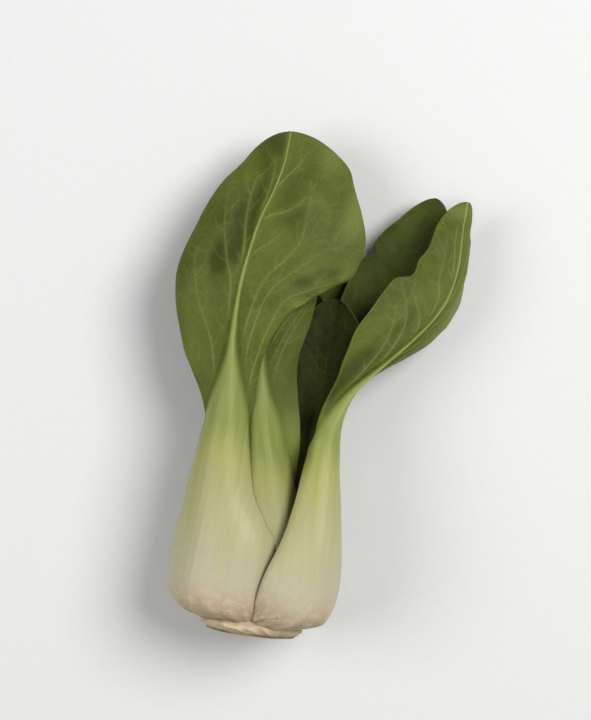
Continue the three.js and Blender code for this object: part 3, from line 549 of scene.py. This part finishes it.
def surface(leaf, y, q, right):
    """What lies on a leaf: how far its outer and its inner face are raised by veins, the low quilting
    between them, hollows, soft lumps, a stalk's two families of strands sin(2 pi q / 3.1) and
    sin(2 pi q / 7.3), and wrinkles at its foot. Also how far the foot's edge wanders along y, and
    the layers that the material reads, for the outer and the inner face."""
    narrow, wide, panel = vein_field(leaf, y, q)
    hollow, shade = dents_and_painted_shade(leaf, y, q)
    start = leaf["start"]
    neck = leaf.get("neck", start + 5)
    stem, width = pick(leaf, "stalk", y, right), half_width(leaf, y, right)
    v, inset = np.abs(q) / stem, width - np.abs(q)
    on, rim = smooth(start - 8, start + 10, y), np.clip(inset / RIM, 0, 1)
    high = smooth(neck, neck + 38, y)
    blade = np.maximum(on * smooth(0.6 - 0.6 * high, 1.1 - 0.5 * high, v),
                       smooth(0.72, 1, v) * smooth(neck - 31, neck - 5, y))
    vein = narrow * smooth(0.9, 1.6, v) * on
    quilt = 0.35 * (wide - 0.45) * on * smooth(1.1, 2.5, v) * rim
    panel = (panel * smooth(0.6, 1.4, v) + hollow) * on
    strand = 0.6 * np.sin(2 * np.pi * q / 3.1 + 0.8 * np.sin(y / 19))
    strand = strand + 0.8 * np.sin(2 * np.pi * q / 7.3 + y / 47 + 1)
    strand = strand * (1 - on) * smooth(6, 30, y) * np.clip(inset / 4, 0, 1)
    crust = smooth(24, 2, y) * smooth(0, 3, inset)
    wrinkle = 0.45 * lumps(q, y / 4, 2.1, start) + 0.35 * lumps(q, y, 3.3, start + 5)
    soft = 0.16 * lumps(q, y / 2.5, 6, start) * (1 - blade)
    soft = soft + 0.2 * lumps(q, y, 5, start + 9) * blade * rim
    outwards = 0.3 * vein * rim + quilt + panel + 0.06 * strand + crust * wrinkle + soft
    inwards = -0.18 * vein * rim - quilt - panel + 0.05 * strand - soft * on
    wander = 0.5 * crust * lumps(q, 0 * y, 2.7, start)
    rib = np.exp(-((q / np.clip(stem * 0.34, 0.4, 1.3)) ** 2))
    fade = 1 - 0.8 * smooth(neck + 5, leaf["end"] - 10, y)
    both = {
        "vein": np.maximum(vein, rib * on * fade),
        "edge": 1 - rim,
        # painted shade, weaker near the veins so the panels between them are shaded darker; painted light
        # where negative
        "shade": np.where(shade > 0, shade * (1 - 0.45 * wide), shade),
        "height": (y - y.min()) / (neck - 5 - y.min()),
    }
    layers = {key: (layer, layer) for key, layer in both.items()}
    layers["blade_share"] = blade, np.maximum(blade, smooth(neck - 10, neck + 15, y))
    layers["inner_face"] = 0 * q, 0 * q + 1
    return outwards, inwards, wander, layers


def leaf_skin(name, step, half):
    """One closed skin round a leaf: rows of points up its outer face from the left edge to the right
    one, and back along the inner face. Both faces are cleared of the leaves outside this one, kept
    apart and above the surface that the head lies on. Then the skin is raised along its normals, and
    held inside the box of the solids."""
    leaf = LEAVES[name]
    y, q, right = leaf_grid(leaf, step, half)
    outer_lift, inner_lift = thickness(leaf, y, q, right)
    outer, inner = place(leaf, y, q, right, outer_lift), place(leaf, y, q, right, inner_lift)
    normal = place(leaf, y, q, right, 1.0) - place(leaf, y, q, right, 0.0)
    for other in LEAVES:
        if other == name:
            break
        outer, inner = pressed(outer, LEAVES[other]), pressed(inner, LEAVES[other])
    least = np.minimum(outer_lift - inner_lift, LEAST)
    gap = ((outer - inner) * normal).sum(-1)
    inner = np.where((gap < least)[..., None], outer - normal * least[..., None], inner)
    points = ring(outer, inner)
    points[..., 2] = np.maximum(points[..., 2], 0)
    facing = np.cross(np.gradient(points, axis=0), np.roll(points, -1, 1) - np.roll(points, 1, 1))
    facing /= np.maximum(np.linalg.norm(facing, axis=-1), 1e-9)[..., None]
    if ((facing[:, : q.shape[1]] * normal).sum(-1)).mean() < 0:
        facing = -facing
    outwards, inwards, wander, layers = surface(leaf, y, q, right)
    points = points + facing * ring(outwards, inwards)[..., None]
    points[..., 1] += ring(wander, wander)
    low, high = (np.array(corner) / MM - REST for corner in CAD_BOX)
    faces = leaf_faces(*q.shape, points.shape[1])
    flat = np.stack([ring(q, q), ring(y, y)], -1).reshape(-1, 2) * MM
    layers = {key: ring(*pair).reshape(-1) for key, pair in layers.items()}
    return np.clip(points, low, high).reshape(-1, 3), faces, flat, layers


def stem_skin():
    """The root stem as rings round the head's axis: radius(y) from the table, times a slow ripple of
    three and seven waves round it, and lumps of two sizes where old leaf bases tore off. The cut face
    is slightly hollow, with rings that follow the bases of the leaves."""
    turn = np.linspace(0, 2 * np.pi, 360, endpoint=False)[None, :]
    face = np.linspace(0, 1, 60)[1:, None]
    side = np.r_[np.linspace(-3.4, 1.4, 26)[1:], np.linspace(1.4, 15, 30)[1:]][:, None]
    uneven = 1 + 0.025 * np.sin(3 * turn + 1) + 0.018 * np.sin(7 * turn + 0.4)
    scars = np.sin(5 * turn + 9 * face) * 0.35 + np.cos(34 * face + 2 * np.sin(3 * turn)) * 0.16
    cut_y = -2.7 - 0.7 * face**2 + scars * np.sin(np.pi * face) ** 0.5 * 0.7
    cut_r = 20.5 * face * (1 + 0 * turn)
    east, up = 22 * np.cos(turn), 22 * np.sin(turn)
    torn = 1.2 * lumps(east + side, up - side, 4.6, 2) + 0.6 * lumps(east + 2 * side, up, 2.1, 7)
    side_r = along(STEM, side) - 0.9 + torn * smooth(16, 4, side) * smooth(-3.4, -2.6, side)
    outside = np.concatenate([face, 1 + 0 * side], 0) > 0.6
    r = np.concatenate([cut_r, side_r], 0) * np.where(outside, uneven, 0.5 + 0.5 * uneven)
    ragged = 0.9 * lumps(east, up, 3.4, 4) + 0.5 * lumps(east, up, 1.7, 1)
    side_y = side + ragged * np.exp(-(((side - 0.6) / 1.4) ** 2))
    y = np.maximum(np.concatenate([cut_y, side_y], 0), -3.4)
    points = np.stack([AXIS[0] + r * np.cos(turn), y, AXIS[1] + r * np.sin(turn)], -1)
    rows, count = r.shape
    points = np.concatenate([[[AXIS[0], -2.7, AXIS[1]]], points.reshape(-1, 3), [[AXIS[0], 17, AXIS[1]]]])
    index = np.arange(rows * count).reshape(rows, count) + 1
    nxt = np.roll(index, -1, 1)
    quads = np.stack([index[:-1], index[1:], nxt[1:], nxt[:-1]], -1).reshape(-1, 4)
    first = np.stack([np.zeros(count, int), index[0], nxt[0]], -1)
    last = np.stack([index[-1], np.full(count, len(points) - 1), nxt[-1]], -1)
    faces = quads.tolist() + first.tolist() + last.tolist()
    on_side = np.r_[0, np.repeat(np.concatenate([0 * face, 1 + 0 * side], 0)[:, 0], count), 1]
    radius = np.r_[0, r.reshape(-1) / 23, 0]
    flat = np.stack([points[:, 0], points[:, 2]], -1) * MM
    return points, faces, flat, {"side": on_side, "radius": radius}


def add_piece(name, skin, material, nodes):
    """A mesh object from points in millimetres from the root end, its faces, its flat map and its
    per-point layers. It rides with the head and stands for its solids."""
    points, faces, flat, layers = skin
    mesh = bpy.data.meshes.new(name)
    mesh.from_pydata(((points + REST) * MM).tolist(), [], faces)
    mesh.shade_smooth()
    for key, values in layers.items():
        layer = mesh.attributes.new(key, "FLOAT", "POINT")
        layer.data.foreach_set("value", values.astype(np.float32))
    ends = np.empty(len(mesh.loops), np.int32)
    mesh.loops.foreach_get("vertex_index", ends)
    uv = mesh.uv_layers.new(name="flat")
    uv.data.foreach_set("uv", flat[ends].astype(np.float32).ravel())
    if mesh.validate():
        raise RuntimeError(f"{name} has broken faces")
    mesh.materials.append(material)
    piece = bpy.data.objects.new(name, mesh)
    bpy.context.scene.collection.objects.link(piece)
    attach(piece, "root")
    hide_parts(*nodes)
    return piece


class Nodes:
    """A short way to write a material: each call adds one node, sets and links its inputs, and gives
    back its first output."""

    def __init__(self, name):
        self.material = bpy.data.materials.new(name)
        self.material.use_nodes = True
        self.tree = self.material.node_tree
        self.tree.nodes.clear()

    def add(self, kind, inputs=(), out=0, **settings):
        node = self.tree.nodes.new("ShaderNode" + kind)
        for key, value in settings.items():
            setattr(node, key, value)
        for key, value in dict(inputs).items():
            socket = node.inputs[key]
            if isinstance(value, bpy.types.NodeSocket):
                self.tree.links.new(value, socket)
            else:
                socket.default_value = value
        return node.outputs[out]

    def layer(self, name):
        return self.add("Attribute", out="Fac", attribute_name=name)

    def flat(self, scale):
        where = self.add("UVMap", uv_map="flat")
        return self.add("Mapping", {"Vector": where, "Scale": (*scale, 1)})

    def noise(self, vector, scale, detail=3, rough=0.5, warp=0.0):
        inputs = {"Vector": vector, "Scale": scale, "Detail": detail, "Roughness": rough}
        return self.add("TexNoise", {**inputs, "Distortion": warp})

    def mix(self, share, a, b):
        a, b = ((*color, 1) if isinstance(color, tuple) else color for color in (a, b))
        return self.add("Mix", {0: share, 6: a, 7: b}, out=2, data_type="RGBA")

    def times(self, a, b):
        return self.add("Math", {0: a, 1: b}, operation="MULTIPLY")

    def plus(self, a, b):
        return self.add("Math", {0: a, 1: b}, operation="ADD")

    def vary(self, value, noise, span):
        return self.plus(value, self.times(self.plus(noise, -0.5), span))

    def remap(self, value, low, high, to_low=0.0, to_high=1.0):
        inputs = {"Value": value, "From Min": low, "From Max": high, "To Min": to_low, "To Max": to_high}
        return self.add("MapRange", inputs, interpolation_type="SMOOTHSTEP")

    def ramp(self, value, stops):
        color = self.add("ValToRGB", {"Fac": value})
        band = color.node.color_ramp
        band.elements[0].position, band.elements[0].color = stops[0][0], (*stops[0][1], 1)
        band.elements[1].position, band.elements[1].color = stops[-1][0], (*stops[-1][1], 1)
        for at, shade in stops[1:-1]:
            band.elements.new(at).color = (*shade, 1)
        return color

    def finish(self, inputs):
        shader = self.add("BsdfPrincipled", inputs)
        target = self.tree.nodes.new("ShaderNodeOutputMaterial")
        self.tree.links.new(shader, target.inputs["Surface"])
        return self.material


def tint(color, factor, other=(1, 1, 1)):
    """A colour made lighter or darker, channel by channel."""
    return tuple(min(1.0, c * factor * o) for c, o in zip(color, other))


def blend(a, b, share):
    """A colour between two."""
    return tuple(x * (1 - share) + y * share for x, y in zip(a, b))


def leaf_material(name, looks, tone_and_shade):
    """Waxy stalk and matt blade in one material. The stalk goes from cream at the root to green at its
    neck, with long pale strands, and is tan and cracked at its foot. The blade is mottled, lighter
    below than above, and its veins and two sizes of network are paler. The shade layer paints shade
    on the blade in dark patches, and painted light where it is negative. tone mixes in the darker
    green of the inner leaves, partly their own colour and partly painted shade deep in the head."""
    m = Nodes(name)
    vein, blade, edge, shade = (m.layer(key) for key in ("vein", "blade_share", "edge", "shade"))
    inner, height = m.layer("inner_face"), m.layer("height")
    even, long = m.flat((1, 1)), m.flat((1, 0.06))
    mottle = m.noise(even, 42, 4, 0.55, 0.6)
    cloud = m.noise(even, 16, 2, 0.5, 0.8)
    patch = m.noise(even, 210, 4, 0.65, 1.2)
    grain = m.noise(even, 1700, 2, 0.6)
    strands = m.noise(long, 620, 3, 0.6)
    broad = m.noise(long, 150, 2, 0.5)
    fleck = m.noise(m.flat((1, 0.5)), 900, 3, 0.7, 0.5)
    pale, root, pith = looks.stalk_pale[:], looks.stalk_root[:], looks.vein[:]
    # tone darkens the inner leaves partly by their own colour and partly as painted shade deep in the head;
    # the factor on the upper side lightens it on the outer and back leaves and darkens it on the heart
    # leaves, as painted light and painted shade
    deep = blend(looks.stalk_neck, looks.stalk_inner, tone_and_shade)
    body = blend(pale, looks.stalk_inner, 0.75 * tone_and_shade)
    under = blend(looks.blade_under, looks.blade_inner, tone_and_shade)
    upper = tint(looks.blade_upper, 2.3 - 2 * tone_and_shade)

    stalk = m.ramp(m.vary(height, broad, 0.34), [
        (0.0, root), (0.07, tint(root, 1.05)), (0.2, tint(body, 1.06, (1, 0.99, 1.35))),
        (0.42, tint(body, 1.0, (1, 1, 1.12))), (0.62, tint(body, 0.9)),
        (0.84, tint(body, 0.82, (0.95, 1.0, 0.66))), (1.0, deep),
    ])
    stalk = m.mix(m.remap(strands, 0.45, 0.75, 0, 0.14), stalk, tint(pale, 1.15))
    stalk = m.mix(m.remap(strands, 0.5, 0.25, 0, 0.16), stalk, tint(deep, 1.15))
    streak = m.times(m.remap(broad, 0.5, 0.72), m.remap(height, 0.25, 0.9, 0, 0.5))
    stalk = m.mix(streak, stalk, tint(deep, 1.35))
    foot = m.vary(height, patch, -0.3)
    tan = m.mix(m.remap(patch, 0.4, 0.64), tint(root, 0.84, (1, 0.87, 0.86)),
                tint(root, 1.15, (1.0, 0.98, 1.12)))
    rust = m.times(m.remap(foot, 0.3, 0.05, 0, 0.8), m.remap(cloud, 0.35, 0.6, 0.35, 1))
    stalk = m.mix(rust, stalk, tan)
    crack = m.times(m.remap(fleck, 0.56, 0.7), m.remap(foot, 0.14, 0.03))
    stalk = m.mix(m.times(crack, 0.65), stalk, (0.19, 0.11, 0.05))

    low = m.ramp(mottle, [(0.3, tint(under, 0.72, (1, 1, 0.8))), (0.5, under),
                          (0.72, tint(under, 1.3, (1.04, 1.0, 1.1)))])
    low = m.mix(m.remap(cloud, 0.42, 0.68, 0, 0.55), low, tint(under, 1.5, (1.1, 1.02, 1.0)))
    high = m.ramp(mottle, [(0.32, tint(upper, 0.75)), (0.7, tint(upper, 1.35))])
    skin = m.mix(inner, low, high)
    sway = m.add("TexNoise", {"Vector": even, "Scale": 90.0, "Detail": 3.0}, out="Color")
    bent = m.add("VectorMath", {0: sway, 1: (0.006, 0.006, 0), 2: m.flat((1, 0.8))},
                 operation="MULTIPLY_ADD")
    cells, wide_cells = (
        m.add("TexVoronoi", {"Vector": bent, "Scale": scale}, feature="DISTANCE_TO_EDGE")
        for scale in (430.0, 135.0)
    )
    net = m.add("Math", {0: m.remap(cells, 0.0, 0.1, 0.55, 0), 1: m.remap(wide_cells, 0.0, 0.05, 1, 0)},
                operation="MAXIMUM")
    skin = m.mix(m.times(net, 0.3 - 0.18 * tone_and_shade), skin, tint(under, 1.8, (1.05, 1, 1.0)))
    # Painted shade: the blade is darkened where the shade layer is positive, in patches broken by the
    # mottle; the next mix paints light where it is negative
    dark = m.times(m.remap(m.vary(shade, mottle, 0.7), 0.1, 0.85), m.remap(shade, 0.05, 0.3))
    skin = m.mix(m.times(dark, 0.72), skin, tint(under, 0.26, (0.85, 1, 0.4)))
    skin = m.mix(m.remap(shade, 0, -1, 0, 0.9), skin, tint(under, 2.3, (1, 1, 1.3)))
    share = m.times(vein, m.remap(inner, 0, 1, 0.8 - 0.5 * tone_and_shade, 0.3 - 0.2 * tone_and_shade))
    skin = m.mix(share, skin, m.mix(inner, pith, tint(pith, 0.45)))
    skin = m.mix(m.times(edge, 0.35), skin, tint(under, 1.7))

    color = m.mix(blade, stalk, skin)
    color = m.mix(m.remap(grain, 0.35, 0.7, 0, 0.1), color, tint(under, 0.6))
    rough = m.add("Mix", {0: blade, 2: 0.3, 3: 0.5}, data_type="FLOAT")
    rough = m.vary(m.plus(rough, m.remap(foot, 0.2, 0.03, 0, 0.25)), mottle, 0.22)
    rude = m.times(m.remap(foot, 0.12, 0.03, 0, 4), patch)
    ridges = m.plus(m.plus(strands, m.times(grain, 0.15)), rude)
    hills = m.plus(m.times(net, 0.9), m.times(grain, 0.7))
    relief = m.add("Mix", {0: blade, 2: ridges, 3: hills}, data_type="FLOAT")
    bump = m.add("Bump", {"Height": relief, "Strength": 0.32, "Distance": 0.0004})
    return m.finish({
        "Base Color": color, "Roughness": rough, "Normal": bump, "IOR": 1.42,
        "Specular IOR Level": 0.12 - 0.06 * tone_and_shade, "Subsurface Weight": 0.14,
        "Subsurface Radius": (0.004, 0.005, 0.0015), "Subsurface Scale": 0.5,
    })


def stem_material(looks):
    """The cut root: cream pith with fibres and darker rings, brown where it has dried, and blotched
    with pink and tan round its side."""
    m = Nodes("root_tissue")
    side, radius = m.layer("side"), m.layer("radius")
    pith, dry = looks.root_pith[:], looks.root_dry[:]
    where = m.add("TexCoord", out="Object")
    blotch = m.noise(where, 120, 5, 0.6, 0.8)
    fibre = m.noise(where, 1300, 3, 0.7)
    wobble = m.plus(radius, m.times(blotch, 0.18))
    rings = m.add("Math", {0: m.times(wobble, 34.0)}, operation="SINE")
    base = m.ramp(wobble, [(0.1, pith), (0.5, tint(pith, 0.85)), (0.72, dry), (1.0, tint(dry, 0.8))])
    base = m.mix(m.remap(rings, 0.2, 1.0, 0, 0.3), base, tint(dry, 0.7))
    skin = m.ramp(blotch, [(0.3, dry), (0.5, looks.stalk_root[:]),
                           (0.7, tint(pith, 0.95, (1.05, 0.95, 0.9)))])
    color = m.mix(side, base, skin)
    color = m.mix(m.remap(fibre, 0.55, 0.75, 0, 0.4), color, tint(dry, 0.5))
    relief = m.plus(m.times(fibre, 0.6), blotch)
    bump = m.add("Bump", {"Height": relief, "Strength": 0.6, "Distance": 0.001})
    return m.finish({
        "Base Color": color, "Roughness": m.remap(blotch, 0.3, 0.7, 0.55, 0.8), "Normal": bump,
        "Subsurface Weight": 0.1, "Subsurface Radius": (0.005, 0.003, 0.0015), "Subsurface Scale": 0.5,
    })


def color_property(name, description, default):
    """A colour that the sidebar shows."""
    return bpy.props.FloatVectorProperty(
        name=name, description=description, default=default, size=3, min=0, max=1, subtype="COLOR"
    )


class LeafLooks(bpy.types.PropertyGroup):
    """Colours of the head."""

    stalk_pale: color_property("Stalk", "The pale body of an outer stalk", (0.45, 0.425, 0.22))
    stalk_neck: color_property("Stalk neck", "Where a stalk narrows into the midrib", (0.235, 0.265, 0.07))
    stalk_root: color_property("Stalk foot", "The stalk's cream foot", (0.52, 0.42, 0.27))
    # Inner stalk and Inner blade are darker partly by their own colour and partly as painted shade deep in
    # the head
    stalk_inner: color_property("Inner stalk", "Stalks in the heart", (0.13, 0.16, 0.035))
    blade_under: color_property("Blade below", "The paler lower side", (0.080, 0.099, 0.0168))
    blade_inner: color_property("Inner blade", "Lower side of the inner blades", (0.041, 0.053, 0.0084))
    blade_upper: color_property("Blade above", "The dark upper side", (0.033, 0.043, 0.0065))
    vein: color_property("Veins", "Midrib and side veins", (0.21, 0.225, 0.065))
    root_pith: color_property("Cut pith", "Fresh tissue of the cut face", (0.60, 0.54, 0.36))
    root_dry: color_property("Dried cut", "Where the cut has browned", (0.43, 0.31, 0.18))


class LeafGrid(bpy.types.PropertyGroup):
    """How fine the leaves are."""

    step: bpy.props.FloatProperty(
        name="Row spacing", description="Distance between rows of points, in millimetres",
        default=0.7, min=0.4, max=5,
    )
    columns: bpy.props.IntProperty(
        name="Points across", description="Points from the midrib to each edge", default=64, min=12, max=80,
    )


class StageSizes(bpy.types.PropertyGroup):
    """The floor, the camera and the lights."""

    floor: bpy.props.FloatProperty(
        name="Floor", description="Side of the floor", default=4.0, min=1, subtype="DISTANCE", unit="LENGTH"
    )
    height: bpy.props.FloatProperty(
        name="Camera height", description="How high the camera hangs over the floor",
        default=1.054, min=0.2, subtype="DISTANCE", unit="LENGTH",
    )
    roll: bpy.props.FloatProperty(
        name="Camera roll", description="How far the camera is turned about its own axis",
        default=math.radians(8), subtype="ANGLE", unit="ROTATION",
    )
    key: bpy.props.FloatProperty(
        name="Key light", description="Power of the large soft light", default=21.5, min=0, unit="POWER"
    )
    fill: bpy.props.FloatProperty(
        name="Fill light", description="Power of the low side light", default=9.0, min=0, unit="POWER"
    )


def make_leaves(context, names, share=1.0):
    """Adds one closed piece for each named leaf."""
    looks, grid = context.scene.bok_choy_looks, context.scene.bok_choy_grid
    for name in names:
        tone_and_shade = LEAVES[name]["tone_and_shade"]
        skin = leaf_skin(name, grid.step / share, max(12, int(grid.columns * share)))
        material = leaf_material("leaf_" + name, looks, tone_and_shade)
        add_piece("leaf_" + name, skin, material, ("stalk_" + name, "blade_" + name))


class BOKCHOY_OT_root_stem(bpy.types.Operator):
    """Add the cut root stem that the leaves grow from"""

    bl_idname = "bokchoy.root_stem"
    bl_label = "Root stem"

    def execute(self, context):
        material = stem_material(context.scene.bok_choy_looks)
        add_piece("cut_root_stem", stem_skin(), material, ("root_stem",))
        return {"FINISHED"}


class BOKCHOY_OT_outer_leaves(bpy.types.Operator):
    """Add the three broad leaves that wrap the bulb"""

    bl_idname = "bokchoy.outer_leaves"
    bl_label = "Outer leaves"

    def execute(self, context):
        make_leaves(context, ("front_right", "front_left", "back_middle"))
        return {"FINISHED"}


class BOKCHOY_OT_inner_leaves(bpy.types.Operator):
    """Add the three leaves in the gaps between the outer ones, and the three of the heart"""

    bl_idname = "bokchoy.inner_leaves"
    bl_label = "Inner leaves"

    def execute(self, context):
        make_leaves(context, ("front_middle", "back_left", "back_right"), 0.78)
        make_leaves(context, ("heart_right", "heart_left", "heart_back"), 0.6)
        return {"FINISHED"}


class BOKCHOY_OT_stage(bpy.types.Operator):
    """Add the floor, the soft lights and the camera straight above"""

    bl_idname = "bokchoy.stage"
    bl_label = "Stage"

    def execute(self, context):
        sizes, scene = context.scene.bok_choy_stage, context.scene
        half = sizes.floor / 2
        mesh = bpy.data.meshes.new("floor")
        corners = [(-half, -half, 0), (half, -half, 0), (half, half, 0), (-half, half, 0)]
        mesh.from_pydata(corners, [], [(0, 1, 2, 3)])
        m = Nodes("floor_paper")
        grain = m.noise(m.add("TexCoord", out="Object"), 300, 3, 0.6)
        paper = m.mix(grain, (0.66, 0.66, 0.65), (0.70, 0.70, 0.69))
        mesh.materials.append(m.finish({"Base Color": paper, "Roughness": 0.8}))
        floor = bpy.data.objects.new("floor", mesh)
        scene.collection.objects.link(floor)
        for name, spot in (("key", (0.7, 0.55, 1.25)), ("fill", (-0.95, 0.0, 1.05))):
            lamp = bpy.data.lights.new(name, "AREA")
            lamp.energy, lamp.size, lamp.shape = getattr(sizes, name), 0.9, "DISK"
            light = bpy.data.objects.new(name, lamp)
            light.location = spot
            aim = np.array(spot) - (0, 0.07, 0)
            light.rotation_euler = (
                math.atan2(math.hypot(aim[0], aim[1]), aim[2]), 0,
                math.atan2(aim[1], aim[0]) + math.pi / 2,
            )
            scene.collection.objects.link(light)
        world = bpy.data.worlds.new("studio")
        world.use_nodes = True
        sky = world.node_tree.nodes["Background"].inputs
        sky["Color"].default_value = (0.96, 0.98, 1.0, 1)
        sky["Strength"].default_value = 0.25
        scene.world = world
        scene.view_settings.view_transform = "Standard"
        lens = bpy.data.cameras.new("camera")
        lens.lens, lens.sensor_width = 110, 36
        lens.clip_start, lens.clip_end = 0.05, 20
        camera = bpy.data.objects.new("camera", lens)
        camera.location = (0.0043, 0.0703, sizes.height)
        camera.rotation_euler = (0, 0, sizes.roll)
        scene.collection.objects.link(camera)
        scene.camera = camera
        return {"FINISHED"}


class BOKCHOY_PT_panel(bpy.types.Panel):
    """The head's sizes, colours and pieces"""

    bl_idname = "BOKCHOY_PT_panel"
    bl_label = "Bok choy"
    bl_space_type = "VIEW_3D"
    bl_region_type = "UI"
    bl_category = "Bok choy"

    def draw(self, context):
        for group in GROUPS:
            box = self.layout.box()
            for key in GROUPS[group].__annotations__:
                box.prop(getattr(context.scene, group), key)
        for operator in OPERATORS:
            self.layout.operator(operator.bl_idname)


GROUPS = {"bok_choy_looks": LeafLooks, "bok_choy_grid": LeafGrid, "bok_choy_stage": StageSizes}
OPERATORS = (
    BOKCHOY_OT_stage,
    BOKCHOY_OT_root_stem,
    BOKCHOY_OT_outer_leaves,
    BOKCHOY_OT_inner_leaves,
)


def register():
    for kind in (*GROUPS.values(), *OPERATORS, BOKCHOY_PT_panel):
        bpy.utils.register_class(kind)
    for name, group in GROUPS.items():
        setattr(bpy.types.Scene, name, bpy.props.PointerProperty(type=group))


def unregister():
    for name in GROUPS:
        delattr(bpy.types.Scene, name)
    for kind in (BOKCHOY_PT_panel, *reversed(OPERATORS), *GROUPS.values()):
        bpy.utils.unregister_class(kind)


def main():
    """Makes every piece in order."""
    register()
    for operator in OPERATORS:
        group, name = operator.bl_idname.split(".")
        if getattr(getattr(bpy.ops, group), name)() != {"FINISHED"}:
            raise RuntimeError(operator.bl_label + " wasn't made")
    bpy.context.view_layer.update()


if __name__ == "__main__":
    main()
